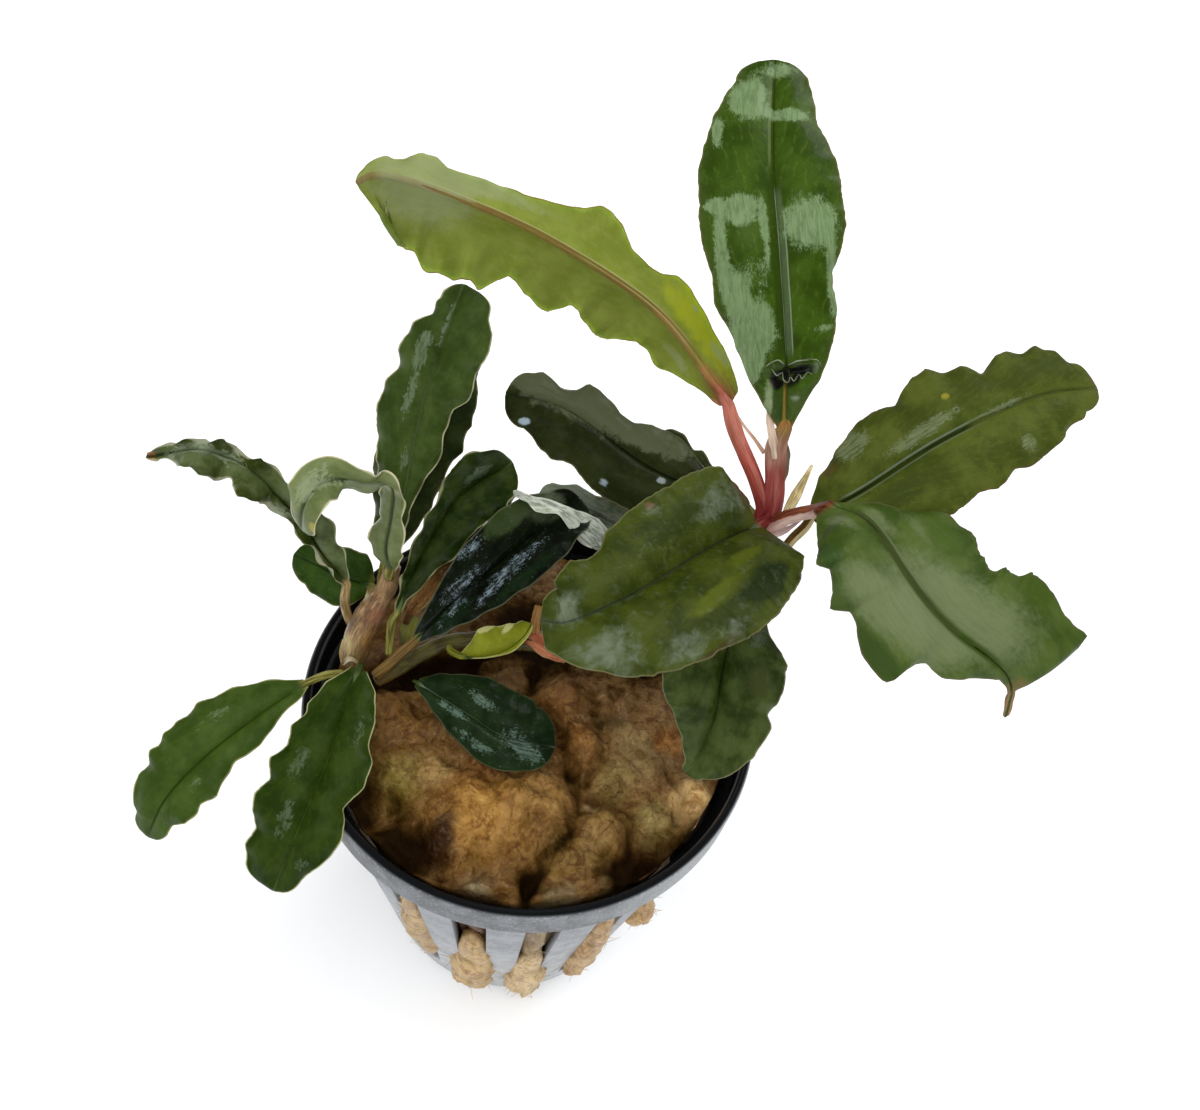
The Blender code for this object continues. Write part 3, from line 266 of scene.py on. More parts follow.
            (26.7, 3.6), (28, 2), (28.3, 0.6)]),
    "leaf_left_back": dict(
        slot="leaf_dark", stalk=[(-18.4, 4.2, 56.9), (-18.7, 5.9, 58.3)], stalk_radii=(0.5, 0.45),
        rib=[(-18.7, 7.6, 60), (-16.8, 14, 67.7), (-15.2, 18.8, 74.1), (-13.1, 22.5, 78.4)],
        face=((-0.1, -0.8, 0.6), (-0.1, -0.8, 0.6)),
        left=[(0, 0.6), (1.5, 1.8), (5.3, 3.2), (8.7, 4.6), (11.8, 4.8), (15, 4), (19, 3.2), (22, 2),
            (24.3, 0.5)],
        right=[(0, 0.6), (3, 2), (7, 3), (10, 3.2), (12.8, 3.5), (14, 4.3), (16.3, 3.8), (17.3, 4.2),
            (19.5, 3.8), (21.1, 3.2), (22.8, 1.9), (24.3, 0.5)]),
    "leaf_left_inner": dict(
        slot="leaf_green", stalk=[(-16.2, -0.9, 53.9), (-16.3, 0.3, 55.9), (-16.2, 0.8, 57.6)],
        stalk_radii=(0.5, 0.5, 0.5, 0.45),
        rib=[(-15.6, 0.9, 59.5), (-15, 2.4, 62.1), (-13.2, 5.7, 66.8), (-10.7, 9.2, 70.9),
            (-6.2, 12.5, 73.5)],
        face=((0.3, -0.7, 0.65), (0.3, -0.7, 0.65)), fold=((50, 10), (35, 10)),
        left=[(0, 0.5), (1.5, 0.9), (4, 1.2), (5.5, 2.3), (7, 1.8), (8.5, 2.5), (10, 2.1), (11.6, 2.8),
            (13.2, 2), (14.4, 2), (15.2, 3.4), (15.9, 4.9), (17, 5.2), (18, 4), (19.2, 4), (20, 3),
            (21.2, 0.6)],
        right=[(0, 0.5), (1.8, 0.6), (3.6, 1.5), (6.5, 2.1), (8.5, 3.2), (11, 3.4), (14.5, 3.9), (18.2, 4),
            (19.7, 2.7), (21.2, 0.8)]),
    "leaf_left_glossy": dict(
        slot="leaf_black_green", stalk=[(-17.1, -3.3, 53), (-15.8, -2.6, 54.6), (-14.4, -1.8, 56.3)],
        stalk_radii=(0.62, 0.62, 0.6, 0.5), rib_radius=0.4,
        rib=[(-13.2, -1.2, 58), (-10, 1.4, 61.9), (-6.7, 4, 65.3), (-3.5, 6.8, 68), (-1.5, 9.1, 69.4),
            (0.1, 10.9, 70.1), (1.2, 12.2, 70.4)],
        face=((-0.2, -0.6, 0.77), (-0.2, -0.6, 0.77)), fold=((25, 25), (20, 20)),
        left=[(0, 0.5), (2, 1.2), (4.7, 1.9), (7.5, 2.8), (10, 3.6), (11.3, 3.8), (13.8, 4.1), (16.7, 4.3),
            (19.6, 3.4), (21, 2.4), (23, 1.5), (24.5, 0.5)],
        right=[(0, 0.5), (2, 1.5), (3.7, 2.2), (7.8, 3.6), (11.8, 4.5), (14.2, 4.6), (16.5, 4.8), (19, 4.5),
            (22, 3.6), (24, 1.8), (24.6, 0.5)]),
    "leaf_arching": dict(
        slot="leaf_green", stalk=[(-20, 1, 53.7), (-21.2, 1.4, 55.9), (-21.5, 1.5, 58.7)],
        stalk_radii=(0.5, 0.54, 0.54, 0.5),
        rib=[(-21.2, 1.8, 61.7), (-23.7, 3.1, 64), (-25.7, 4, 66.7), (-28.1, 4.9, 69.4), (-31.5, 5.9, 72.1),
            (-34.3, 6.3, 73), (-37.2, 6.4, 73.1), (-42.4, 5.8, 71.4)],
        face=((0.3, -0.5, 0.8), (0, -0.5, 0.85)), fold=((60, 50), (45, 50)),
        left=[(0, 0.6), (1.2, 1.6), (2, 2.2), (3, 0.9), (4.5, 0.6), (5.6, 0.6), (6.6, 2.6), (7.2, 2.7),
            (8, 1.6), (9.4, 2.2), (10.3, 1.3), (12, 1), (12.6, 2), (13.1, 4.4), (13.7, 5.2), (15, 5.2),
            (15.6, 3.2), (16.4, 2.4), (17.8, 2.5), (18.5, 5.4), (19.5, 5), (20.5, 3.8), (21.2, 4),
            (23.5, 0.9), (24.6, 0.9), (26.7, 0.3)],
        right=[(0, 0.5), (1, 1.4), (2.5, 2.6), (5.5, 2.9), (7, 3.9), (8, 3.7), (9, 4.3), (10, 3.3),
            (14, 2.3), (14.6, 2.6), (15.4, 3.6), (16, 1.2), (17.6, 1), (18.4, 3), (19.1, 2.8), (20, 1),
            (21, 0.7), (21.6, 2.1), (23.5, 0.9), (25, 1.2), (26.7, 0.3)]),
    "leaf_curled": dict(
        slot="leaf_grey_green", stalk=[(-17.1, 3.3, 62.2)], stalk_radii=(0.55, 0.5),
        rib=[(-16.9, 3.3, 63.6), (-17.1, 3.6, 67.2), (-16.6, 4.3, 71.6), (-16.4, 4.1, 76.2),
            (-18.4, 1.9, 78.5), (-20.2, 0.5, 79.9), (-21.8, -0.8, 80), (-22.7, -2.4, 78.8),
            (-23.1, -3, 75.9)],
        face=((-0.3, -0.75, 0.6), (-0.5, -0.6, 0.3)),
        left=[(0, 0.6), (1.5, 1.8), (3.6, 2.3), (5, 2.2), (6.5, 1.5), (8, 1.8), (10, 1.9), (12.8, 1.5),
            (14, 1.9), (16, 1.6), (18, 2), (19, 1.6), (21, 2), (23, 2.3), (25, 2.2), (26.8, 1.2),
            (27.7, 0.4)],
        right=[(0, 0.6), (1.5, 1.4), (3.6, 2.1), (6, 2), (8, 1.4), (10, 1.3), (12.8, 1.4), (16, 1.7),
            (18.7, 1.8), (21, 2.6), (23, 2.9), (24.5, 2.2), (26, 1.4), (27.7, 0.4)]),
    "leaf_small_round": dict(
        slot="leaf_green", stalk=[(-19.6, 3.7, 55.4)], stalk_radii=(0.4, 0.4),
        rib=[(-19.6, 5.5, 56.9), (-23, 5.7, 57.1), (-26.3, 6.4, 57.7), (-28.9, 6.9, 58.1)],
        face=((-0.3, -0.5, 0.8), (-0.3, -0.5, 0.8)),
        left=[(0, 0.5), (0.8, 1.4), (1.8, 2.7), (3.2, 3.2), (5.8, 3), (8, 1.9), (9, 0.9), (9.5, 0.3)],
        right=[(0, 0.5), (0.7, 2.4), (1.3, 3.3), (4.5, 3.4), (6.5, 2.6), (8.2, 1.5), (9.2, 0.6),
            (9.5, 0.3)]),
    "leaf_lower_left": dict(
        slot="leaf_green", stalk=[(-20.6, -3.7, 52.9), (-22.2, -4.6, 53.3)], stalk_radii=(0.45, 0.42),
        rib=[(-24, -5.8, 53), (-28.5, -10.8, 51.6), (-32.3, -15.3, 49.9), (-35.1, -19.2, 47.4),
            (-36.5, -22, 43.8)],
        face=((-0.1, -0.4, 0.9), (-0.1, -0.4, 0.9)),
        left=[(0, 0.5), (1, 1), (4.6, 1.6), (5.8, 2.2), (7.5, 2.9), (10.4, 2.5), (12.2, 3.1), (14.1, 4.1),
            (16.2, 3.3), (17, 3.7), (18.7, 3.5), (20.5, 2), (21.8, 1.9), (23, 0.6)],
        right=[(0, 0.5), (3, 2.7), (6.2, 4.1), (9.5, 5.1), (12.2, 4.9), (14.1, 5.1), (15.1, 4.5), (16, 4.8),
            (17, 4), (18.2, 4.1), (21, 2.8), (22.6, 1.2), (23, 0.6)]),
    "leaf_over_rim": dict(
        slot="leaf_green", stalk=[(-18.6, -3.3, 54.6)], stalk_radii=(0.4, 0.4),
        rib=[(-18.6, -4.1, 55), (-19, -8.3, 53.9), (-19.2, -13.9, 52.3), (-20.2, -19.8, 50.1),
            (-21.8, -25.6, 45.2)],
        face=((0, -0.45, 0.9), (0, -0.45, 0.9)),
        left=[(0, 0.9), (2, 2.7), (5.3, 3.7), (7.8, 3.6), (9.3, 4.5), (11.6, 4.6), (14.1, 3.3), (15, 4),
            (16.8, 4.6), (19.3, 3.9), (21.6, 2.5), (23.6, 1.7), (24.7, 0.6)],
        right=[(0, 0.9), (2.4, 2.7), (4.9, 3.8), (5.8, 3.7), (7.4, 4.8), (9.7, 4.5), (11.8, 5.6),
            (13.9, 4.9), (15.8, 5.5), (17.6, 5.2), (19.1, 4.1), (21, 4.5), (23, 3.3), (24.2, 1.4),
            (24.7, 0.6)]),
    "leaf_on_wool": dict(
        slot="leaf_bottle_green", stalk=[(-13, -3, 52.9)], stalk_radii=(0.15, 0.22),
        rib=[(-12.5, -3.3, 53.2), (-6, -5.7, 52.4), (-2, -7.1, 51.8), (3.5, -6.9, 51.2)],
        face=((0, -0.3, 0.95), (0, -0.3, 0.95)),
        left=[(0, 0.5), (1.5, 2.2), (3.4, 3.2), (5.6, 4.4), (8.6, 4.9), (11, 5.1), (13.6, 4.7), (14.6, 3.6),
            (16.4, 2), (17, 0.6)],
        right=[(0, 0.5), (2.4, 1.4), (5.9, 2.8), (9.8, 3.5), (11.7, 3.7), (14.1, 3.1), (16.2, 1.5),
            (17, 0.6)]),
    "leaf_young": dict(
        slot="leaf_yellow_green", stalk=[(-9.8, 0.2, 55.8), (-9.4, -0.4, 56)],
        stalk_radii=(0.42, 0.42, 0.4),
        rib=[(-8.2, -0.9, 56.2), (-5.6, -0.7, 56.9), (-3.4, -0.1, 58), (-2, 1, 59.2), (-1.3, 2.3, 60.1)],
        face=((-0.1, -0.85, 0.45), (-0.3, -0.8, 0.5)), fold=((5, 20), (10, 20)),
        left=[(0, 0.4), (1.2, 1.7), (2, 2.8), (2.9, 3.6), (4.2, 3.5), (6, 2.8), (7.5, 2.1), (8.8, 1.1),
            (9.6, 0.4)],
        right=[(0, 0.3), (3.2, 0.3), (6.1, 0.6), (9.6, 0.3)]),
    "bract": dict(
        slot="bract_brown", stalk=[(-15, 1.8, 56.4)], stalk_radii=(0.35, 0.35),
        rib=[(-14.8, 2.5, 57.4), (-13.4, 4, 59.4), (-11.9, 5.6, 61.7), (-10.3, 6.9, 63.6)],
        face=((0.1, -0.7, 0.7), (0.1, -0.7, 0.7)), fold=((20, 20), (20, 20)),
        left=[(0, 0.5), (2, 0.9), (4, 1), (6, 0.8), (8.3, 0.2)],
        right=[(0, 0.6), (2, 1), (4, 1.1), (6, 0.7), (8.3, 0.2)]),
    "stem_scale": dict(
        slot="bract_brown", stalk=[(-2.4, 2.2, 57.2)], stalk_radii=(0.3, 0.3),
        rib=[(-1.9, 1.8, 57.8), (-0.5, 1.5, 58.1), (1.1, 0.9, 57.9), (3.2, 0.2, 57.5)],
        face=((0.1, -0.75, 0.65), (0.1, -0.75, 0.65)), fold=((-15, -15), (-15, -15)),
        left=[(0, 0.6), (1.4, 1.1), (3, 1.1), (4.4, 0.8), (5.4, 0.3)],
        right=[(0, 0.6), (1.4, 1), (3, 1.1), (4.4, 0.8), (5.4, 0.3)]),
}


# How much brighter than the plain colour a surface looks in this light
LIGHT_LEVEL = 1.35


def seen(red, green, blue):
    """The plain colour of a surface that looks like this, in 0 to 255, in this light."""
    def plain(value):
        share = value / 255
        straight = share / 12.92 if share <= 0.04045 else ((share + 0.055) / 1.055) ** 2.4
        return straight / LIGHT_LEVEL

    return plain(red), plain(green), plain(blue)


# The look of a plain leaf; places are (along the rib, left of it) in millimetres.
# sheen films and dents are (along, across, reach along, reach across, strength); tints add a colour.
# rib_lines are (across, half width, strength, colour, start, end); sheaths are dry strips beside the
# stalk, each a centre line, half widths and a colour.
# The sheen film colour is painted sheen and reflection, laid in pale patches where the wet leaf has a film.
PLAIN_LEAF = dict(
    dark=seen(34, 52, 18), light=seen(58, 80, 28), under_dark=seen(62, 78, 36), under=seen(98, 114, 58),
    vein=seen(80, 102, 42), veins=0.18, vein_gap=1.1, vein_slant=0.3,
    rib=seen(36, 50, 18), rib_width=0.5, rib_least=0.5,
    margin=seen(150, 140, 95), margin_share=0.6,
    film=seen(128, 146, 112), sheen_film_share=0.8, sheen_film_least=0.25, sheen_film_edge=(0.4, 0.5), flecks=1.1,
    sheen_film_gap=0.001, specks=0.4, sheen_film_ragged=1.1, fleck_scale=2.2,
    films=[], tints=[], dents=[], rib_lines=[], stalk_tints=[], sheaths=[],
    border=seen(70, 66, 36), border_share=0.0, border_width=0.8,
    stalk=seen(150, 145, 72), stalk_dark=seen(104, 98, 42), stalk_fade=0.8,
    stalk_flat=0.85, channel=0.0,
    roughness=0.42, gloss=0.16, coat=0.06, coat_roughness=0.15, bump_mm=0.035, glow=0.0,
    ruffle=0.25, lobe_lift=0.9, belly=1.0, wave_length=3.4, wobble=0.1, softness=0.25, tip_round=1.6)

RED_STALK = dict(stalk=seen(176, 84, 70), stalk_dark=seen(120, 44, 38))
# Near black painted shade for the upright leaf's tear, where the opening lies in shadow
PAINTED_TEAR_SHADE = seen(12, 11, 9)
LIP = seen(150, 160, 140)

LOOKS = {
    "leaf_upright": dict(
        RED_STALK, tip_round=2.6, dark=seen(44, 66, 2), light=seen(62, 88, 12), rib=seen(42, 62, 4),
        rib_width=0.3, film=seen(126, 150, 104), sheen_film_share=0.92, sheen_film_least=0.6, flecks=1.2,
        fleck_scale=3.4, sheen_film_edge=(0.3, 0.62), vein=seen(96, 124, 42), stalk_fade=0.8, stalk_flat=0.62,
        channel=0.3,
        stalk_tints=[(-11, 0, 3, 3, 1.3, seen(120, 32, 36)), (-6.4, 0, 2.6, 3, 1.2, seen(164, 76, 70)),
            (-2.6, 0.3, 1.8, 3, 1.2, seen(212, 160, 138)), (0, 0, 1.4, 3, 1.3, seen(150, 118, 60)),
            (-4, -0.6, 4, 0.25, 1.3, seen(124, 70, 48)), (-6, 0.3, 4, 0.14, 1.4, seen(138, 70, 60)),
            (-7.5, -0.1, 3, 0.12, 1.6, seen(206, 132, 120))],
        sheaths=[
            ([(17.6, 15.3, 85.4), (18.3, 14.6, 83.9), (18.9, 13.4, 82.6), (19.7, 12.6, 80.7)],
             (0.15, 0.38, 0.42, 0.2), seen(222, 196, 172)),
            ([(20.4, 14.4, 81.7), (20.9, 13.8, 80.3), (21.1, 13.3, 78.7), (21.3, 12.6, 76.7)],
             (0.15, 0.4, 0.34, 0.2), seen(132, 110, 92)),
            ([(15.4, 16.1, 82.2), (16.5, 15.3, 81.5), (17.5, 14.6, 80.9), (18.7, 13.9, 80.1)],
             (0.1, 0.14, 0.18, 0.26), seen(226, 184, 158)),
            ([(16.6, 16.1, 89.1), (17, 16.3, 89.5), (17.6, 16.5, 89.8), (18.2, 16.4, 89.5)],
             (0.04, 0.07, 0.07, 0.05), seen(140, 150, 118)),
            ([(18.6, 16.4, 89.5), (19.3, 16.7, 89.9), (20, 16.9, 90), (20.8, 17.2, 90.1), (21.4, 17.2, 90),
             (21.8, 17, 89.5)], (0.04, 0.07, 0.07, 0.07, 0.06, 0.04), seen(140, 150, 118)),
            ([(17.2, 16, 89), (17.8, 15.8, 88.5), (18.2, 16, 88.8), (18.5, 15.6, 88.3), (19, 15.5, 88.2),
             (19.1, 15.9, 88.6), (19.5, 15.7, 88.3), (19.8, 16.1, 88.9), (20.2, 15.9, 88.6),
             (20.6, 16.4, 89.1), (21.1, 16.4, 88.9)],
             (0.03, 0.05, 0.04, 0.05, 0.04, 0.05, 0.04, 0.05, 0.03), seen(150, 158, 132))],
        veins=0.25, margin=seen(120, 112, 48), border=seen(68, 82, 36), border_share=0.6, border_width=1,
        films=[(31, 2.3, 2.5, 2, 0.95), (27.6, 5.1, 1.7, 0.7, 0.8), (29.6, -1.5, 0.8, 2.2, 0.75),
            (34.3, -0.6, 1, 2.2, 0.6), (20.7, 3.3, 1.6, 1.9, 0.85), (21.3, 5.8, 0.7, 0.9, 0.8),
            (17.2, 5.4, 3.6, 0.7, 0.85), (19, -3, 2.5, 2.8, 0.95), (13.5, -4.7, 4, 0.6, 0.8),
            (18.7, 1.3, 3.2, 0.45, 0.8), (15.2, 2.5, 1.4, 1.9, 0.35), (13.6, 4.4, 2.2, 1.2, 0.7),
            (10, 3, 3.2, 2.2, 1.1), (6.4, 3.5, 2.4, 1.1, 0.9), (2.8, 1.7, 2.6, 0.5, 0.8),
            (9.4, -3.4, 0.5, 1, 0.6)],
        # The black rib line and the black tints paint shade into the tear
        rib_lines=[(0, 0.5, 1, PAINTED_TEAR_SHADE, 3.6, 6.9), (0.5, 0.42, 0.75, seen(44, 64, 6), 6.6, 24),
            (-0.35, 0.36, 0.6, seen(86, 104, 70), 6.6, 23), (-0.02, 0.1, 0.7, seen(136, 148, 126), 6.7, 23),
            (-0.66, 0.09, 0.7, seen(136, 148, 126), 6.8, 21), (0.1, 0.3, 0.8, seen(150, 118, 44), -1, 5),
            (0.4, 0.2, 0.5, seen(112, 124, 70), 24, 33)],
        tints=[(5, 0.9, 0.9, 0.7, 1.6, PAINTED_TEAR_SHADE), (5.3, -0.4, 0.7, 1, 1.6, PAINTED_TEAR_SHADE),
            (5.8, -1.7, 0.5, 1, 1.5, PAINTED_TEAR_SHADE), (4.7, -0.2, 0.5, 0.8, 1.3, PAINTED_TEAR_SHADE),
            (6.5, 0.4, 0.25, 2, 0.7, seen(62, 72, 40)), (3.1, -0.9, 0.2, 0.3, 1.2, LIP),
            (6, -2.8, 0.7, 0.3, 0.7, seen(108, 122, 84)), (2.3, 1.7, 2, 0.4, 1, seen(176, 170, 132)),
            (2.4, -0.9, 2, 0.8, 0.5, seen(70, 86, 18))],
        dents=[(5.2, 0.2, 0.8, 1.6, -0.5), (5.6, -1.4, 0.6, 1.2, -0.45), (6.5, -0.6, 0.35, 2.4, 0.2)],
        ruffle=0.12, roughness=0.34, coat=0.12, coat_roughness=0.08, belly=0.6),
    "leaf_yellow_green": dict(
        RED_STALK, tip_round=1, under=seen(138, 150, 62), under_dark=seen(120, 132, 46),
        dark=seen(82, 104, 34), light=seen(112, 128, 50), rib=seen(122, 96, 50), rib_width=0.3,
        rib_least=0.6, margin=seen(112, 70, 44), margin_share=0.8, vein=seen(142, 152, 82), vein_slant=0.14,
        vein_gap=1.3, veins=0.35, film=seen(154, 162, 118), sheen_film_least=0.8, sheen_film_share=0.7,
        sheen_film_edge=(0.3, 1), flecks=0.3,
        films=[(36.7, -1, 6.5, 5, 1), (34.7, 2.2, 5, 1.4, 0.8), (28.7, 2.2, 7, 0.9, 0.6),
            (6.3, -2.6, 3, 0.8, 0.8), (4.3, 2.2, 2.2, 0.6, 0.9), (9.3, 3, 0.6, 0.3, 0.9)],
        tints=[(6.7, 2.6, 7, 2, 0.8, seen(160, 168, 40)), (4.2, -3, 5, 2.4, 0.4, seen(140, 150, 42)),
            (-1.1, -1.3, 2, 0.7, 1.1, seen(212, 138, 106))],
        rib_lines=[(0.28, 0.1, 0.7, seen(168, 168, 116), 6.7, 38.7),
            (0, 0.5, 0.8, seen(178, 126, 78), -1, 5.7), (0, 0.34, 0.5, seen(160, 124, 70), 4.7, 12.7)],
        stalk_flat=0.62, channel=0.25,
        stalk_tints=[(-12.5, 0, 4, 3, 1.2, seen(128, 38, 40)), (-7, 0, 3, 3, 1.1, seen(180, 82, 72)),
            (-1.6, 0, 3.4, 3, 1.1, seen(212, 130, 110)), (-6, 0.5, 6, 0.2, 1.2, seen(226, 150, 128)),
            (-6, -0.2, 6, 0.2, 1, seen(160, 84, 48))],
        sheaths=[
            ([(15.3, 13.1, 76.2), (16.5, 12.6, 75.6), (17.8, 12, 74.5), (19, 11.1, 73)],
             (0.3, 0.6, 0.6, 0.3), seen(98, 72, 52))],
        roughness=0.55, gloss=0.08, coat=0, glow=0.25, ruffle=0.15, lobe_lift=0.5, stalk_fade=4.5,
        wobble=0.14),
    "leaf_right": dict(
        tip_round=2, dark=seen(62, 72, 18), light=seen(84, 94, 32), rib=seen(38, 48, 14), rib_width=0.4,
        rib_least=0.3, margin=seen(112, 84, 54), margin_share=0.65, vein=seen(104, 118, 44), veins=0.2,
        vein_gap=0.7, stalk=seen(124, 92, 34), stalk_dark=seen(84, 58, 18), film=seen(124, 134, 100),
        stalk_tints=[(-2, -0.4, 4, 0.2, 1.2, seen(206, 190, 140))], flecks=1.9, fleck_scale=2.8,
        sheen_film_edge=(0.35, 0.65),
        films=[(7, 4.4, 2.4, 1.5, 0.85), (12.5, 1.6, 3.5, 0.8, 0.8), (16, 1.9, 2.5, 0.6, 0.55),
            (21.8, -4.2, 1, 1.2, 0.8), (21.5, 0.4, 4, 0.3, 0.7)],
        tints=[(9, -2.4, 3.2, 1.6, 0.8, seen(62, 72, 22)), (16.9, 3.6, 0.4, 0.4, 0.9, seen(140, 134, 40)),
            (32.5, 0.5, 1.6, 2, 0.7, seen(96, 84, 44)), (3.4, 3.6, 2, 1, 0.6, seen(84, 70, 30))],
        rib_lines=[(0.42, 0.12, 0.7, seen(120, 134, 118), 3, 24),
            (-0.42, 0.1, 0.5, seen(108, 122, 104), 3, 20), (0, 0.7, 0.75, seen(84, 94, 34), 17, 40),
            (0, 0.12, 0.5, seen(112, 122, 90), 18, 33)],
        sheen_film_share=0.7, roughness=0.5, ruffle=0.28, gloss=0.12, coat=0),
    "leaf_drooping": dict(
        stalk=seen(136, 74, 46), stalk_dark=seen(92, 42, 28), stalk_flat=0.7, channel=0.15,
        stalk_tints=[(-9, 0, 2.2, 3, 1.2, seen(112, 34, 34)), (-5, -0.8, 3.4, 0.3, 1, seen(206, 174, 160))],
        sheaths=[
            ([(20.8, 9.3, 73.7), (21.6, 9.1, 73.9), (22.6, 9.5, 74.5), (23.6, 9.8, 75.7)],
             (0.2, 0.4, 0.26, 0.06), seen(204, 172, 166))],
        tip_round=0.5, dark=seen(56, 76, 20), light=seen(78, 96, 36), rib=seen(54, 70, 30), rib_width=0.2,
        rib_least=0, film=seen(114, 126, 86), sheen_film_least=0.85, sheen_film_share=0.85, sheen_film_edge=(0.1, 1.2),
        flecks=0.9, fleck_scale=1.4, margin=seen(120, 100, 80), margin_share=0.45, veins=0.12,
        films=[(12.5, 0.4, 5, 3, 1), (17.5, 1.6, 5, 4, 1), (10.5, -4.6, 3.6, 2, 1.1),
            (15.5, -3, 4, 2.6, 0.9), (5, 0.9, 2, 0.6, 0.9), (22.5, 3, 3.6, 3.4, 0.55),
            (3, -2, 2.2, 0.8, 0.9), (6.5, 3.4, 2.4, 0.8, 0.5)],
        tints=[(29, 0.4, 1.6, 2.2, 1.6, seen(150, 116, 74)), (26.5, 0.2, 1.6, 2, 0.6, seen(110, 96, 50)),
            (9.1, 5.2, 3, 1.8, 0.7, seen(66, 88, 22)), (6, -5.8, 2.6, 1.2, 0.8, seen(54, 76, 30)),
            (22, 7.8, 2.4, 1.4, 0.9, seen(64, 84, 20)), (9.4, -7.2, 2.6, 0.9, 1, seen(66, 84, 36)),
            (14.6, -7.2, 2.6, 1.4, 0.8, seen(54, 74, 26))],
        rib_lines=[(0, 0.55, 0.9, seen(70, 80, 40), 2, 18.5), (0.5, 0.12, 0.4, seen(128, 138, 106), 3, 14)],
        sheen_film_gap=0.7, roughness=0.5, coat=0, ruffle=0.2, lobe_lift=0.4, softness=0.18, belly=0.8),
    "leaf_front": dict(
        stalk=seen(124, 48, 44), stalk_dark=seen(88, 28, 28), tip_round=1.2, dark=seen(46, 56, 6),
        light=seen(68, 78, 16), rib=seen(62, 70, 44), rib_width=0.4, rib_least=0.5,
        margin=seen(126, 120, 80), margin_share=0.7, film=seen(116, 126, 106), sheen_film_least=1, sheen_film_share=0.8,
        sheen_film_edge=(0, 1.3), flecks=0.4, sheen_film_ragged=2.4, veins=0.06,
        films=[(7, -3.4, 1.8, 1.2, 0.55), (26.6, -0.9, 1.5, 1.6, 0.9), (25.2, 3.6, 2.6, 1.3, 0.85),
            (24.4, 5.6, 1.6, 1.2, 0.6), (19.6, 7.2, 2, 1.2, 0.75), (15.5, 8.4, 1.6, 0.7, 0.6),
            (12.4, -5.8, 1.2, 0.6, 0.7), (4.8, -4.6, 2.4, 1.4, 0.6), (2.6, -3, 2, 1, 0.6)],
        tints=[(9.6, 7.6, 2.6, 1.2, 0.9, seen(36, 48, 8)), (14.2, 5.4, 4.2, 0.9, 0.95, seen(82, 92, 10)),
            (8, 3.8, 3.4, 0.8, 0.9, seen(78, 88, 8)), (14.5, -2.6, 3.5, 1, 0.35, seen(74, 84, 20)),
            (9, 6.6, 5, 1.3, 0.85, seen(24, 38, 4)), (18.6, 9, 3, 0.6, 0.8, seen(62, 56, 16)),
            (12.3, -6.3, 0.5, 0.4, 1.2, seen(104, 74, 50))],
        roughness=0.5, coat=0, ruffle=0.12),
    "leaf_lower_front": dict(
        tints=[(8.5, 4.3, 2.4, 1.6, 0.7, seen(66, 74, 32)), (15.8, -1.1, 2.4, 2, 0.6, seen(70, 82, 38))],
        tip_round=1, dark=seen(42, 56, 12), light=seen(78, 92, 42), rib=seen(98, 110, 66), rib_width=0.25,
        margin=seen(156, 148, 110), film=seen(96, 104, 84), films=[(3.5, 3, 2, 1.2, 0.6)]),
    "leaf_dark_back": dict(
        tip_round=2.4, dark=seen(26, 32, 4), light=seen(40, 46, 12), rib=seen(30, 38, 14), rib_width=0.35,
        film=seen(86, 92, 64), sheen_film_least=0.9, sheen_film_share=0.85, sheen_film_edge=(0.3, 0.6), flecks=0.3,
        margin_share=0.3, films=[(20, -2.6, 8, 3.4, 1), (10, -3, 5, 1.8, 0.7)], veins=0.06,
        # The three small pale blue-grey tints are painted highlights
        tints=[(24.3, 2.6, 0.7, 0.4, 1, seen(150, 166, 176)), (12.5, 4.1, 0.6, 0.3, 1, seen(136, 150, 156)),
            (7.8, 0.8, 0.5, 0.4, 1, seen(140, 150, 150))]),
    "leaf_small_back": dict(tip_round=1.2, dark=seen(34, 46, 14), light=seen(58, 72, 30)),
    "leaf_pale_wavy": dict(
        vein=seen(70, 80, 50), veins=0.5, vein_slant=0.04, vein_gap=0.8, tip_round=0.5,
        dark=seen(44, 56, 30), light=seen(80, 92, 56), film=seen(206, 212, 196), sheen_film_least=0.35,
        sheen_film_share=0.95, sheen_film_edge=(0.2, 0.6), flecks=0.3,
        films=[(4.5, 0, 7, 3, 1.3), (13, 0, 3, 1.2, 1.1)],
        tints=[(15.5, 0, 0.7, 1.2, 1.5, seen(164, 90, 36)), (11, 0.9, 1.4, 0.5, 1.2, seen(104, 104, 40))],
        margin=seen(206, 204, 176), margin_share=0.8, ruffle=0.2, lobe_lift=0.3, wave_length=3),
    "leaf_hidden_middle": dict(
        tip_round=1, dark=seen(78, 86, 58), light=seen(112, 122, 96), ruffle=0.4, film=seen(140, 146, 130),
        sheen_film_edge=(0.2, 0.7), flecks=0.3, films=[(11, -0.4, 4, 2, 1), (4, 0, 3, 1.6, 0.8)],
        tints=[(8.2, 0, 1.6, 1, 1.2, seen(34, 42, 18))], margin=seen(200, 198, 168), margin_share=0.7),
    "leaf_left_upright": dict(
        tip_round=2, dark=seen(48, 66, 16), light=seen(70, 88, 36), film=seen(112, 128, 98),
        rib=seen(92, 108, 66), rib_width=0.25, rib_least=0.2, margin=seen(196, 190, 150), margin_share=0.8,
        veins=0.15,
        films=[(20.5, 1.6, 3, 0.9, 0.65), (15.5, 1.4, 2.4, 0.7, 0.6), (9.5, 0.6, 2.2, 0.6, 0.5),
            (24, 0.2, 3, 0.4, 0.6)],
        ruffle=0.4),
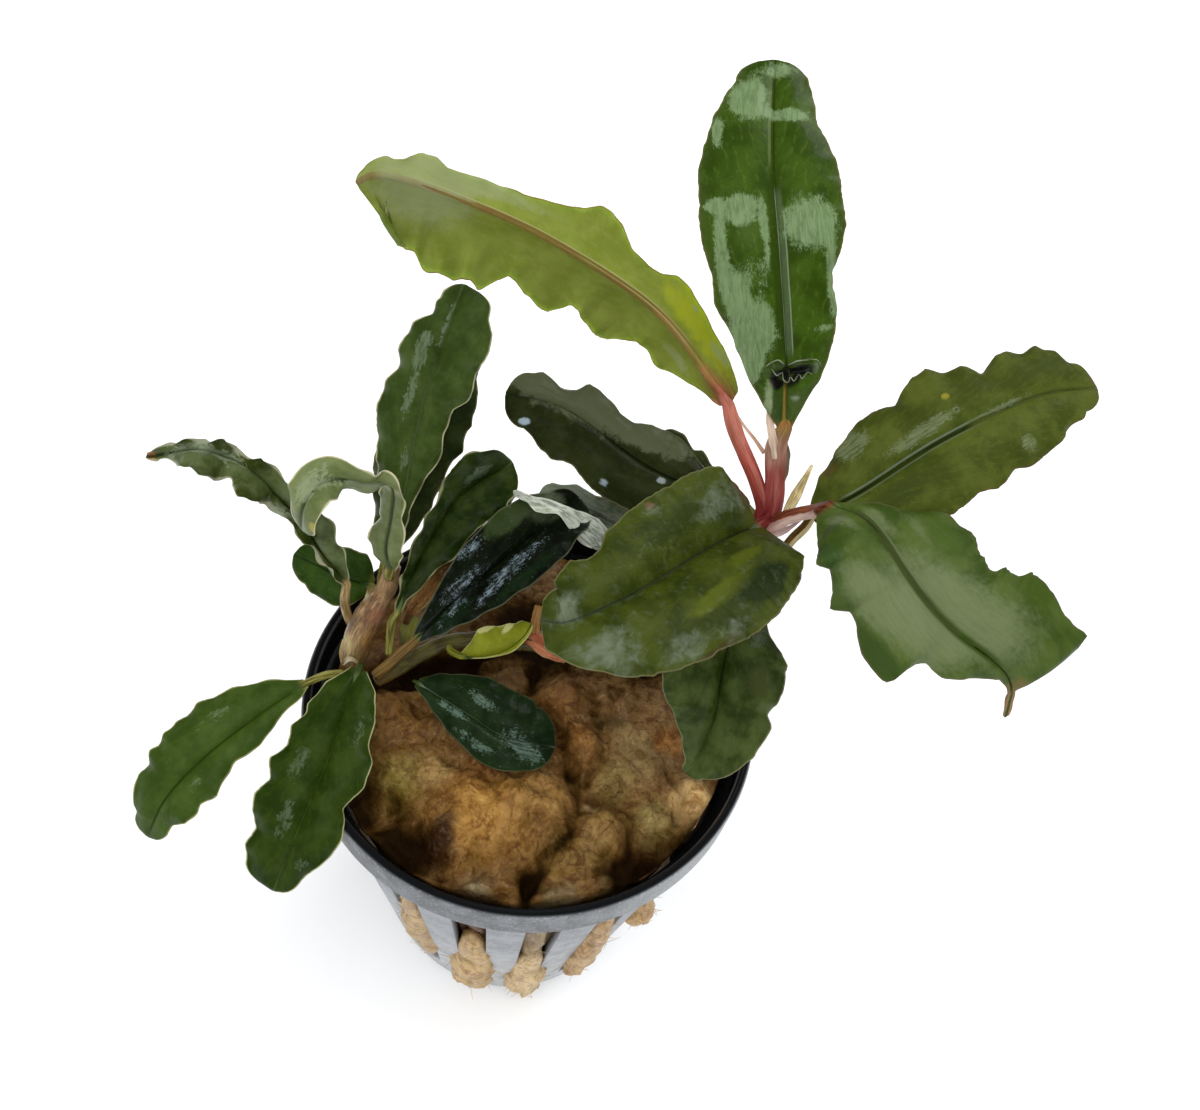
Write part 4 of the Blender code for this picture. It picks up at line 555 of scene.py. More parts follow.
    "leaf_left_back": dict(tip_round=2, dark=seen(36, 48, 16), light=seen(56, 68, 28), ruffle=0.4),
    "leaf_left_inner": dict(
        tip_round=2.2, dark=seen(20, 36, 2), light=seen(46, 60, 16), rib=seen(84, 102, 58), rib_width=0.18,
        rib_least=0.2, veins=0.12, margin=seen(176, 172, 126), films=[(17.5, 1.8, 2.5, 0.9, 0.55)],
        film=seen(84, 100, 76)),
    "leaf_left_glossy": dict(
        stalk=seen(124, 98, 52), stalk_dark=seen(104, 80, 38), tip_round=2.4, dark=seen(6, 10, 3),
        light=seen(15, 23, 8), rib=seen(34, 46, 26), rib_width=0.2, rib_least=0.1,
        margin=seen(120, 124, 92), margin_share=0.4, film=seen(146, 164, 172), sheen_film_share=0.7, sheen_film_least=0,
        flecks=1.8,
        films=[(8.5, 0.8, 4, 1.2, 0.45), (6, -1, 3, 0.8, 0.4), (11.5, 3.2, 2, 0.8, 0.5),
            (14, -1.8, 4, 1, 0.5), (10, -2.6, 3, 0.6, 0.4)],
        fleck_scale=4,
        tints=[(16.5, 3.2, 3.5, 1.5, 0.9, seen(46, 60, 26)), (20.3, 0.9, 2, 2, 0.9, seen(66, 74, 52)),
            (4.5, -1.6, 4, 1.2, 0.8, seen(14, 32, 10)), (14, -3.6, 5, 0.7, 0.7, seen(16, 34, 12))],
        veins=0.05, coat=0.12, coat_roughness=0.1, roughness=0.34, gloss=0.14),
    "leaf_arching": dict(
        tip_round=0.8, dark=seen(54, 64, 16), light=seen(92, 104, 62), film=seen(140, 150, 122),
        margin=seen(190, 186, 156), films=[(20, 0, 5, 1.6, 0.8), (10, 1, 4, 0.8, 0.5)],
        stalk=seen(186, 160, 110), stalk_dark=seen(140, 112, 66), veins=0.12,
        tints=[(26.4, 0, 0.8, 1, 1.6, seen(160, 96, 42))], ruffle=0.4),
    "leaf_curled": dict(
        tip_round=1.4, dark=seen(92, 104, 56), light=seen(122, 134, 84), rib=seen(60, 72, 42),
        rib_width=0.4, film=seen(144, 156, 120), sheen_film_least=0.7, margin=seen(214, 206, 168),
        margin_share=0.9, veins=0.12, films=[(16.5, 0.6, 3, 1.2, 0.8), (22, -0.6, 2.6, 1.6, 0.6)],
        tints=[(24.8, 2, 0.6, 0.6, 1.2, seen(160, 150, 60)),
            (12.5, 0, 1.4, 1.6, 0.6, seen(168, 166, 130))]),
    "leaf_small_round": dict(tip_round=2.6, dark=seen(34, 58, 8), light=seen(54, 80, 18), rib_width=0.2),
    "leaf_lower_left": dict(
        tip_round=1.8, dark=seen(50, 70, 16), light=seen(66, 88, 28), rib=seen(50, 70, 18), rib_width=0.25,
        margin=seen(170, 168, 110), margin_share=0.7, film=seen(100, 116, 78), veins=0.2,
        films=[(9, -2.6, 3, 0.8, 0.5), (15, 1.6, 2, 0.7, 0.45)]),
    "leaf_over_rim": dict(
        stalk=seen(64, 78, 30), stalk_dark=seen(44, 58, 18), tip_round=2, dark=seen(30, 50, 0),
        light=seen(50, 68, 12), rib=seen(80, 96, 56), rib_width=0.18, rib_least=0.2,
        margin=seen(186, 186, 130), margin_share=0.8, film=seen(92, 106, 78), sheen_film_share=0.65, veins=0.12,
        films=[(11, -2.6, 3, 1, 0.55), (17, -1.6, 2.6, 1, 0.55), (6.5, 2.2, 2.2, 0.7, 0.5),
            (20.5, 1.6, 1.4, 0.8, 0.45)]),
    "leaf_on_wool": dict(
        stalk=seen(60, 72, 30), stalk_dark=seen(40, 52, 18), tip_round=2.6, dark=seen(14, 32, 8),
        light=seen(30, 48, 20), rib=seen(92, 108, 84), rib_width=0.18, rib_least=0.2,
        film=seen(110, 134, 116), sheen_film_share=0.7, flecks=1.8, fleck_scale=3.4, margin_share=0.2, coat=0.12,
        coat_roughness=0.08, veins=0.08,
        films=[(12.5, 0, 2.4, 1.6, 0.5), (7, 2, 3, 0.8, 0.5), (5, -0.6, 2.4, 0.6, 0.6),
            (9, -2.2, 3, 0.8, 0.5), (14.5, -1.4, 1.6, 1.2, 0.5)]),
    "leaf_young": dict(
        stalk=seen(136, 138, 44), stalk_dark=seen(104, 106, 24), tip_round=0.8, dark=seen(120, 126, 20),
        light=seen(146, 152, 34), under=seen(136, 140, 42), rib_width=0.15, veins=0.15, glow=0.2,
        ruffle=0.1, roughness=0.5, margin=seen(206, 204, 140),
        tints=[(4.6, 3.3, 2.2, 0.4, 1.3, seen(200, 198, 130)),
            (7.6, 1.9, 1.6, 0.35, 1.3, seen(200, 198, 130))]),
    "bract": dict(
        dark=seen(84, 56, 24), light=seen(138, 96, 50), under=seen(150, 100, 60),
        under_dark=seen(96, 56, 28), vein=seen(186, 140, 90), vein_slant=0.02, vein_gap=0.4, veins=0.7,
        rib_width=0.1, ruffle=0.1, stalk=seen(110, 70, 34), stalk_dark=seen(76, 44, 20), roughness=0.55,
        coat=0, tip_round=0.4),
    "stem_scale": dict(
        dark=seen(140, 70, 40), light=seen(190, 118, 84), under=seen(176, 106, 74),
        under_dark=seen(130, 66, 40), vein=seen(210, 150, 110), vein_slant=0.02, vein_gap=0.4, veins=0.7,
        rib_width=0.1, ruffle=0.12, stalk=seen(150, 84, 50), stalk_dark=seen(110, 54, 30), roughness=0.5,
        coat=0.05, tip_round=0.4,
        sheaths=[
            ([(-1, 4.6, 60.4), (-1, 3.4, 59.4), (-0.9, 2.1, 58.7)], (0.4, 0.55, 0.5), seen(176, 128, 72))]),
}

# Stems: dark, light and streak colour
RHIZOME_COLOURS = ((0.035, 0.026, 0.006), (0.085, 0.07, 0.013), (0.14, 0.115, 0.025))
SHEATH_COLOURS = (seen(108, 76, 44), seen(146, 112, 70), seen(192, 164, 124))
STRAW_COLOURS = ((0.4, 0.29, 0.1), (0.62, 0.5, 0.24), (0.75, 0.66, 0.42))
# Coloured places on the stems: place, reach, colour
SHEATH_TINTS = [
    ((-21, -0.8, 54.4), 1.1, seen(206, 184, 126)), ((-17.6, 3.8, 61), 1.3, seen(176, 138, 92)),
    ((-17.6, 0.8, 58.2), 1.2, seen(150, 98, 66)), ((-19.2, -2.2, 52.6), 1.5, seen(116, 90, 24)),
    ((-18.2, -0.6, 55.2), 1.3, seen(150, 108, 48)),
    ((-20.2, -2.6, 53.6), 0.6, seen(222, 212, 176)), ((-19.4, 2.6, 59), 0.5, seen(206, 196, 150))]
# On the creeping stem the yellow-green places along its top are painted highlights; the other places are its
# own colour
RHIZOME_TINTS_AND_HIGHLIGHTS = [
    ((-14.6, 1.8, 56), 1.6, seen(126, 128, 42)), ((-16.6, -3, 52), 1.3, seen(110, 86, 36)),
    ((-9.8, 1.4, 56.2), 1.1, seen(112, 108, 36)), ((-12.4, 0, 54.8), 0.9, seen(104, 98, 34)),
    ((19.8, 11, 72.6), 2.4, seen(104, 34, 34))]

# Mineral wool: colour, and patches of (place, reach, colour) seen from above
WOOL_COLOUR = seen(134, 96, 40)
WOOL_SIDE_COLOUR = seen(120, 90, 46)
# The darkest brown patches, at (14.8, -15.2) and (-7, -18.6) near the front rim, are painted shade
WOOL_TINTS = [
    ((-14.8, -4.5), 4.6, seen(138, 98, 36)), ((11.5, 0.5), 5.6, seen(166, 126, 70)),
    ((9, -1.4), 2, seen(104, 80, 34)), ((12.6, -4.2), 3, seen(156, 130, 76)),
    ((16.6, -1.6), 1.6, seen(190, 128, 54)), ((10.6, -8), 2.4, seen(152, 126, 66)),
    ((-12.4, -12), 3, seen(140, 118, 42)), ((-2.4, -14.6), 5.2, seen(180, 130, 52)),
    ((3.2, -12.4), 3, seen(180, 136, 66)), ((-2.8, -14.4), 2.4, seen(194, 144, 60)),
    ((-8.4, -10.4), 1.9, seen(186, 150, 86)), ((-3.6, -9.4), 2.2, seen(152, 104, 42)),
    ((3.2, 0.8), 2.6, seen(150, 104, 44)), ((6.4, -4.2), 2.3, seen(160, 110, 44)),
    ((8.5, -11.5), 0.9, seen(176, 150, 104)), ((7.4, -16.8), 3, seen(142, 110, 46)),
    ((10.4, -13.8), 2.2, seen(168, 132, 66)), ((14.8, -15.2), 2, seen(92, 52, 14)),
    ((15.6, -11.4), 2.2, seen(172, 150, 86)), ((19.8, -8), 2.6, seen(246, 204, 134)),
    ((-1.4, -22.6), 1.9, seen(150, 134, 98)), ((6.4, -21.6), 1.7, seen(140, 118, 78)),
    ((11.8, -18.8), 1.4, seen(116, 90, 44)), ((-7, -18.6), 2.4, seen(66, 38, 12))]
# Painted shadow on the wool's top, under the stem and leaves and in gaps at the rim: place, reach, strength
WOOL_PAINTED_SHADOWS = [
    ((-13.6, 1.4), 2.4, 1), ((-4, 10), 5, 1), ((0, 6.5), 4, 0.8), ((10, 9), 6, 0.9),
    ((-15.2, -16.2), 2.2, 0.8), ((-11.6, -19), 2.3, 0.85), ((-9.4, -20.4), 2, 0.7),
    ((-17.8, -13.6), 2.4, 0.8), ((1.6, -20.6), 1.4, 0.4), ((11.4, -17), 1.7, 0.6),
    ((17.2, -16.4), 3.4, 1), ((20.4, -12.6), 2.4, 0.9), ((13.8, -18.8), 2.2, 0.7)]
# Tufts in the slots: direction in degrees from the front, top and bottom height, reach, half width, colour
WOOL_TUFTS = [
    (-25, 41, 8, 1.8, 2.3, seen(206, 172, 114)), (-5, 31, 2, 2.6, 3, seen(220, 184, 122)),
    (15, 25, 1.5, 2.6, 2.8, seen(236, 206, 152)), (35, 39, 8, 2.4, 2.2, seen(210, 170, 108)),
    (55, 30, 21, 2.6, 1.8, seen(214, 174, 112)), (-65, 30, 14, 1, 2, seen(190, 152, 94)),
    (75, 38, 24, 0.8, 1.8, seen(190, 152, 94)), (115, 28, 12, 1.2, 2, seen(196, 156, 98)),
    (155, 22, 6, 1.8, 2.2, seen(202, 162, 102)), (-105, 26, 8, 1.6, 2.2, seen(202, 162, 102)),
    (-165, 36, 18, 1.2, 1.9, seen(198, 160, 100))]
# Colour of the wool behind the slots, by slot direction; the dark brown at -5 degrees is painted shade in
# that slot
WOOL_SLOTS = [(-25, seen(190, 148, 84)), (-5, seen(120, 76, 38)), (15, seen(196, 170, 126)),
              (35, seen(200, 156, 92))]

# Light: name, direction (0 the back, 90 the right) and height in degrees, strength, width in degrees,
# and whether it mirrors in glossy surfaces
SUNS = [("sky", 175.0, 74.0, 2.3, 70.0, False), ("sky_gloss", 168.0, 62.0, 0.12, 22.0, True),
        ("back_window", 40.0, 54.0, 0.75, 34.0, True), ("side_fill", -130.0, 35.0, 0.4, 60.0, False)]
ROOM_LIGHT = 0.55
ROOM_GLOSS = 0.1
ROOM_SEEN = 1.4
FLOOR_HALF_M = 4.0

# The photograph's view, for an image of 1200 by 1110
CAMERA_IMAGE_PX = 1200
CAMERA_FOCUS_PX = 1100.0
CAMERA_LIFT_DEG = 51.16
CAMERA_ROLL_DEG = 10.64
CAMERA_PLACE = (4.5, -64.8, 157.1)

# Large numbers that stir the corners of the smooth noise
GRAIN_PRIMES = (73856093, 19349663, 83492791)
GRAIN_SEED_PRIME = 2654435761
GRAIN_LAST_PRIME = 1274126177


def unit(vectors):
    return vectors / np.linalg.norm(vectors, axis=-1, keepdims=True)


def lerp(a, b, t):
    return a + (b - a) * t


def smooth(low, high, value):
    """0 below low, 1 above high, and an even S between them."""
    t = np.clip((value - low) / (high - low), 0.0, 1.0)
    return t * t * (3 - 2 * t)


def grain(points, seed=0):
    """Smooth noise from -1 to 1 at points, with one lump for each unit of length."""
    points = np.asarray(points, float)
    cell = np.floor(points).astype(np.int64)
    part = points - cell
    part = part * part * (3 - 2 * part)
    total = np.zeros(points.shape[:-1])
    for corner in itertools.product((0, 1), repeat=3):
        mixed = np.bitwise_xor.reduce((cell + corner) * np.array(GRAIN_PRIMES), axis=-1)
        mixed = mixed ^ (seed * GRAIN_SEED_PRIME)
        mixed = (mixed ^ (mixed >> 13)) * GRAIN_LAST_PRIME
        value = ((mixed ^ (mixed >> 16)) & 0xffff) / 32767.5 - 1
        weight = np.ones_like(total)
        for axis in range(3):
            weight *= part[..., axis] if corner[axis] else 1 - part[..., axis]
        total += weight * value
    return total


def layered(points, seed=0, octaves=3, falloff=0.5):
    """Several sizes of grain on top of each other."""
    total = 0
    strength = 1.0
    for octave in range(octaves):
        total = total + strength * grain(np.asarray(points) * 2.0 ** octave, seed + octave * 17)
        strength *= falloff
    return total


def curve_through(knots, step):
    """Points about step apart on a smooth curve through the knots, their headings and distances."""
    knots = np.array(knots, float)
    knots = np.vstack([2 * knots[0] - knots[1], knots, 2 * knots[-1] - knots[-2]])
    fine = []
    for a, b, c, d in zip(knots, knots[1:], knots[2:], knots[3:]):
        t = np.linspace(0, 1, CURVE_SAMPLES, endpoint=False)[:, None]
        fine.append(0.5 * (2 * b + (c - a) * t + (2 * a - 5 * b + 4 * c - d) * t ** 2
                           + (3 * b - a - 3 * c + d) * t ** 3))
    fine = np.vstack(fine + [knots[-2:-1]])
    along = np.concatenate([[0], np.cumsum(np.linalg.norm(np.diff(fine, axis=0), axis=1))])
    distances = np.linspace(0, along[-1], max(3, round(along[-1] / step)) + 1)
    path = np.stack([np.interp(distances, along, fine[:, k]) for k in range(3)], axis=1)
    return path, unit(np.gradient(path, axis=0)), distances


def soft_reading(pairs, at, softness):
    """The value at a distance, read from (distance, value) pairs with their corners rounded."""
    distances, values = zip(*pairs)
    shifts = np.linspace(-1, 1, 9)
    weights = 1.05 - shifts ** 2
    weights = weights / weights.sum()
    return sum(w * np.interp(at + shift * softness, distances, values) for w, shift in zip(weights, shifts))


def add_piece(name, vertices, faces, finish, attributes=None):
    """A smooth mesh object in metres from millimetre points, with values stored on its points."""
    mesh = bpy.data.meshes.new(name)
    mesh.from_pydata((np.asarray(vertices) * MM).tolist(), [], faces)
    for key, values in (attributes or {}).items():
        values = np.asarray(values, float)
        kind, field = {1: ("FLOAT", "value"), 3: ("FLOAT_VECTOR", "vector"),
                       4: ("FLOAT_COLOR", "color")}[1 if values.ndim == 1 else values.shape[1]]
        mesh.attributes.new(key, kind, "POINT").data.foreach_set(field, values.astype(np.float32).ravel())
    mesh.shade_smooth()
    mesh.materials.append(finish)
    made = bpy.data.objects.new(name, mesh)
    bpy.context.collection.objects.link(made)
    return made


def fit(piece, node):
    """The piece stands for a CAD node, which is hidden, and rides with the root body."""
    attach(piece, "root")
    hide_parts(node)


def grid_faces(rows, columns, closed=False):
    """Faces of a grid of points stored row after row; a closed grid joins its last column to its first."""
    faces = []
    for i in range(rows - 1):
        for j in range(columns if closed else columns - 1):
            a, b = i * columns + j, i * columns + (j + 1) % columns
            faces.append((a, a + columns, b + columns, b))
    return faces


def stacked(*parts):
    """Arrays and plain numbers side by side in a new last axis."""
    return np.stack(np.broadcast_arrays(*parts), -1)


def round_turns(count):
    """Even turns round a full circle."""
    return np.linspace(0, 2 * math.pi, count, endpoint=False)


def tube_faces(rows, sides):
    """Faces of a tube of closed rings, with both ends shut."""
    faces = [tuple(reversed(face)) for face in grid_faces(rows, sides, closed=True)]
    faces.append(tuple(range(sides - 1, -1, -1)))
    faces.append(tuple(range((rows - 1) * sides, rows * sides)))
    return faces


def tube(path, headings, radii, upward, sides, flat=1.0):
    """Points and faces of a closed tube; flat squeezes it along its upward direction."""
    side = unit(np.cross(upward, headings))
    upward = np.cross(headings, side)
    turns = round_turns(sides)[None, :, None]
    ring = side[:, None] * np.cos(turns) + flat * upward[:, None] * np.sin(turns)
    points = path[:, None] + ring * np.asarray(radii)[:, None, None]
    return points.reshape(-1, 3), tube_faces(len(path), sides)


def joined(parts):
    """Points and faces of several (points, faces) parts in one list each."""
    faces = []
    count = 0
    for points, more in parts:
        faces += [tuple(k + count for k in face) for face in more]
        count += len(points)
    return np.concatenate([points for points, _ in parts]), faces


class Finish:
    """A node material that is built up in small steps around its Principled shader."""

    def __init__(self, name):
        self.material = bpy.data.materials.new(name)
        self.material.use_nodes = True
        self.tree = self.material.node_tree
        self.shader = self.tree.nodes["Principled BSDF"]

    def put(self, socket, value):
        if isinstance(value, bpy.types.NodeSocket):
            self.tree.links.new(value, socket)
        elif isinstance(value, tuple) and len(value) == 3 and socket.type == "RGBA":
            socket.default_value = (*value, 1.0)
        else:
            socket.default_value = value

    def step(self, kind, inputs, output=0, **settings):
        node = self.tree.nodes.new("ShaderNode" + kind)
        for key, value in settings.items():
            setattr(node, key, value)
        for socket, value in inputs.items():
            self.put(node.inputs[socket], value)
        return node.outputs[output]

    def math(self, operation, a, b=0.0, c=0.0):
        return self.step("Math", {0: a, 1: b, 2: c}, operation=operation)

    def plus(self, a, b):
        return self.math("ADD", a, b)

    def times(self, a, b):
        return self.math("MULTIPLY", a, b)

    def times_plus(self, a, b, c):
        return self.math("MULTIPLY_ADD", a, b, c)

    def split(self, vector):
        """The three numbers of a vector."""
        node = self.tree.nodes.new("ShaderNodeSeparateXYZ")
        self.put(node.inputs[0], vector)
        return node.outputs

    def ramp(self, value, low, high, start=0.0, end=1.0):
        """start below low, end above high, and a smooth change between them."""
        return self.step("MapRange", {0: value, 1: low, 2: high, 3: start, 4: end},
                         interpolation_type="SMOOTHSTEP")

    def mix(self, share, a, b, blend="MIX"):
        return self.step("Mix", {0: share, 6: a, 7: b}, output=2, data_type="RGBA", blend_type=blend)

    def noise(self, vector, scale, detail=4.0, roughness=0.55, distortion=0.0):
        return self.step("TexNoise", {"Vector": vector, "Scale": scale, "Detail": detail,
                                      "Roughness": roughness, "Distortion": distortion})

    def stretched(self, vector, factors, shift=(0.0, 0.0, 0.0)):
        return self.step("VectorMath", {0: vector, 1: factors, 2: shift}, operation="MULTIPLY_ADD")

    def attribute(self, name, output=2):
        """A value stored on the points: output 0 is its colour, 1 its vector, 2 its number, 3 its alpha."""
        return self.step("Attribute", {}, output=output, attribute_name=name)

    def bump(self, height, distance_mm, strength=1.0):
        normal = self.step("Bump", {"Height": height, "Distance": distance_mm * MM, "Strength": strength})
        self.put(self.shader.inputs["Normal"], normal)

    def set(self, **values):
        for key, value in values.items():
            self.put(self.shader.inputs[key.replace("_", " ")], value)


def leaf_finish(name, number, look):
    """A living leaf: mottled blade, fine veins, thin margin, wet film in painted sheen, separate underside
    and stalk.
    """
    finish = Finish(name)
    place = finish.attribute("leaf_place", output=1)
    flat = finish.stretched(place, (1.0, 1.0, 0.0), (number * 7.3, number * 3.1, 0.0))
    along, across, edge = finish.split(place)
    width = finish.math("ABSOLUTE", across)
    clouds = finish.noise(flat, 0.28, detail=5.0, roughness=0.62)
    ragged = finish.noise(flat, 0.9, detail=6.0, roughness=0.65, distortion=0.4)
    tint = finish.attribute("leaf_tint", output=0)
    tint_share = finish.plus(finish.attribute("leaf_tint", output=3), finish.times_plus(ragged, 0.9, -0.45))
    tint_share = finish.ramp(tint_share, 0.22, 0.72)

    colour = finish.mix(tint_share, blade_colour(finish, look, flat, clouds), tint)
    vein = leaf_veins(finish, look, flat, along, width)
    broken = finish.ramp(finish.noise(flat, 1.3, detail=3.0), 0.42, 0.62)
    colour = finish.mix(finish.times(finish.times(vein, broken), look["veins"]), colour, look["vein"])
    rib = finish.ramp(width, look["rib_width"] * 0.45, look["rib_width"], 1.0, 0.0)
    rib = finish.times(rib, finish.ramp(clouds, 0.3, 0.6, look["rib_least"], 1.0))
    colour = finish.mix(rib, colour, look["rib"])
    inside = finish.times_plus(ragged, 2.4, finish.math("SUBTRACT", edge, 1.2))
    border = finish.ramp(inside, 0.0, look["border_width"], look["border_share"], 0.0)
    colour = finish.mix(border, colour, look["border"])
    colour = rib_lines(finish, look, colour, along, across)
    rim = finish.ramp(finish.times_plus(ragged, 0.12, edge), 0.12, 0.26, look["margin_share"], 0.0)
    colour = finish.mix(rim, colour, look["margin"])
    # Pale patches of wet film, painted with the sheen and reflections they show
    film = leaf_film(finish, look, flat, ragged, width)
    colour = finish.mix(finish.times(film, look["sheen_film_share"]), colour, look["film"])
    # Small specks in the sheen film colour over the lighter clouds: painted glints
    specks = finish.noise(flat, 3.6, detail=3.0, roughness=0.8)
    specks = finish.ramp(specks, 0.62, 0.7, 0.0, look["specks"])
    specks = finish.times(specks, finish.ramp(clouds, 0.4, 0.56))
    colour = finish.mix(specks, colour, look["film"])
    colour = with_stalk(finish, look, flat, colour, tint, tint_share)
    finish.set(Base_Color=colour)
    leaf_surface(finish, look, flat, ragged, vein, film)
    return finish.material


def with_stalk(finish, look, flat, colour, tint, tint_share):
    """The stalk's own colour where the stalk is, with streaks along it."""
    fibres = finish.noise(finish.stretched(flat, (0.35, 5.0, 1.0)), 1.0, detail=4.0)
    share = finish.attribute("leaf_stalk")
    own = finish.mix(finish.ramp(fibres, 0.35, 0.65), look["stalk_dark"], look["stalk"])
    colour = finish.mix(share, colour, own)
    colour = finish.mix(finish.times(tint_share, share), colour, tint)
    return finish.mix(share, colour, finish.ramp(fibres, 0.35, 0.65, 0.72, 1.12), blend="MULTIPLY")


def leaf_surface(finish, look, flat, ragged, vein, film):
    """Roughness, fine relief, gloss and glow of a leaf's skin."""
    rough = finish.times_plus(ragged, 0.34, look["roughness"] - 0.17)
    rough = finish.math("SUBTRACT", rough, finish.times(film, 0.1))
    pebbles = finish.noise(flat, 2.6, detail=4.0, roughness=0.6)
    height = finish.plus(finish.times(pebbles, 0.9), finish.times(vein, -0.35))
    height = finish.plus(height, finish.times(film, 0.25))
    finish.bump(height, look["bump_mm"])
    finish.set(Roughness=rough, IOR=1.45)
    finish.shader.inputs["Specular IOR Level"].default_value = look["gloss"]
    finish.shader.inputs["Coat Weight"].default_value = look["coat"]
    finish.shader.inputs["Coat Roughness"].default_value = look["coat_roughness"]
    if look["glow"]:
        finish.shader.inputs["Subsurface Weight"].default_value = look["glow"]
        finish.shader.inputs["Subsurface Radius"].default_value = (0.6, 1.0, 0.25)
        finish.shader.inputs["Subsurface Scale"].default_value = 0.4 * MM


def blade_colour(finish, look, flat, clouds):
    """Two greens in soft clouds with small dark dots, on the upper and on the lower side."""
    dots = finish.noise(flat, 4.2, detail=2.0)
    patchy = finish.ramp(clouds, 0.36, 0.64)
    upper = finish.mix(patchy, look["dark"], look["light"])
    upper = finish.mix(finish.ramp(dots, 0.62, 0.74, 0.0, 0.35), upper, look["dark"])
    under = finish.mix(patchy, look["under_dark"], look["under"])
    under = finish.mix(finish.ramp(dots, 0.58, 0.72, 0.0, 0.28), under, look["under_dark"])
    return finish.mix(finish.attribute("leaf_upper"), under, upper)


def leaf_veins(finish, look, flat, along, width):
    """Side veins, which leave the midrib at a shallow angle and wander a little."""
    slant = finish.math("SUBTRACT", width, finish.times(along, look["vein_slant"]))
    wander = finish.times(finish.noise(flat, 0.35, detail=2.0), 1.6)
    turn = finish.times(finish.plus(slant, wander), math.pi / look["vein_gap"])
    return finish.math("POWER", finish.math("ABSOLUTE", finish.math("COSINE", turn)), 14.0)


def rib_lines(finish, look, colour, along, across):
    """Lines of light and shade that run beside the midrib and fade out at both ends."""
    for place_across, half_width, share, rgb, start, end in look["rib_lines"]:
        off = finish.math("ABSOLUTE", finish.math("SUBTRACT", across, place_across))
        line = finish.ramp(off, half_width * 0.4, half_width, share, 0.0)
        line = finish.times(line, finish.ramp(along, start, start + RIB_LINE_FADE))
        line = finish.times(line, finish.ramp(along, end - RIB_LINE_FADE, end, 1.0, 0.0))
        colour = finish.mix(line, colour, rgb)
    return colour


def leaf_film(finish, look, flat, ragged, width):
    """Where the pale wet film with its painted sheen lies: ragged patches with painted glint flecks round
    them and streaks along the blade.
    """
    along_it = finish.stretched(flat, (0.5, 3.2, 1.0))
    streaks = finish.noise(along_it, 1.0, detail=5.0, roughness=0.7, distortion=0.8)
    fleck_place = finish.stretched(flat, (1.0, 1.9, 1.0))
    flecks = finish.noise(fleck_place, look["fleck_scale"], detail=6.0, roughness=0.75)
    here = finish.times_plus(flecks, look["flecks"], finish.attribute("leaf_film"))
    here = finish.times_plus(ragged, look["sheen_film_ragged"], here)
    here = finish.math("SUBTRACT", here, (look["sheen_film_ragged"] + look["flecks"]) * 0.5)
    film = finish.ramp(here, *look["sheen_film_edge"])
    film = finish.times(film, finish.ramp(streaks, 0.38, 0.58, look["sheen_film_least"], 1.0))
    return finish.times(film, finish.ramp(width, look["sheen_film_gap"] * 0.4, look["sheen_film_gap"]))


def blade_frame(face, headings, distances):
    """Sideways and upward directions along a blade, from the way its upper side looks."""
    share = (distances / distances[-1])[:, None]
    start, end = (unit(np.array(f, float)) for f in face)
    upward = lerp(start, end, share)
    upward = unit(upward - (upward * headings).sum(1)[:, None] * headings)
    return np.cross(upward, headings), upward


def blade_halves(shape, look, number, distances):
    """Width, lobes and turn along the blade, of its right and of its left half."""
    length = distances[-1]
    fold = shape.get("fold", ((0, 0), (0, 0)))
    reach = np.minimum(distances, length - look["tip_round"])
    left_over = np.clip((length - distances) / look["tip_round"], 0.004, 1.0)
    tip = np.sqrt(left_over * (2 - left_over))
    halves = []
    for k, key in enumerate(("right", "left")):
        width = np.maximum(soft_reading(shape[key], reach, look["softness"]), LEAST_HALF_WIDTH)
        broad = soft_reading(shape[key], reach, LOBE_REACH)
        nicks = layered(stacked(distances * 1.3, 5.0 * k, number), seed=number + k)
        width = width * (1 + 0.012 * nicks)
        turn = np.radians(lerp(fold[0][1 - k], fold[1][1 - k], distances / length))
        lobe = np.clip(width - broad, -LOBE_LIMIT, LOBE_LIMIT)
        halves.append((width * tip, lobe * tip, turn))
    return halves


def ripples(look, number, distances, u, width, lobe):
    """How far a column of the blade stands up: ruffled edge, lifted lobes, belly and fine veins."""
    towards = 1 if u > 0 else -1
    wander = 0.35 * grain(stacked(distances * 0.22, towards * 2.0, number * 1.7), 3)
    wave = np.sin(2 * math.pi * (distances / look["wave_length"] + wander + 0.37 * towards))
    ruffle = look["ruffle"] * wave * abs(u) ** 8 + look["lobe_lift"] * lobe * abs(u) ** 5
    belly = look["belly"] * width * math.sin(math.pi * abs(u) ** 0.8) * 0.14
    slant = width * abs(u) - distances * look["vein_slant"]
    vein = np.cos(2 * math.pi * slant / look["vein_gap"]) * 0.012
    return ruffle + belly + vein


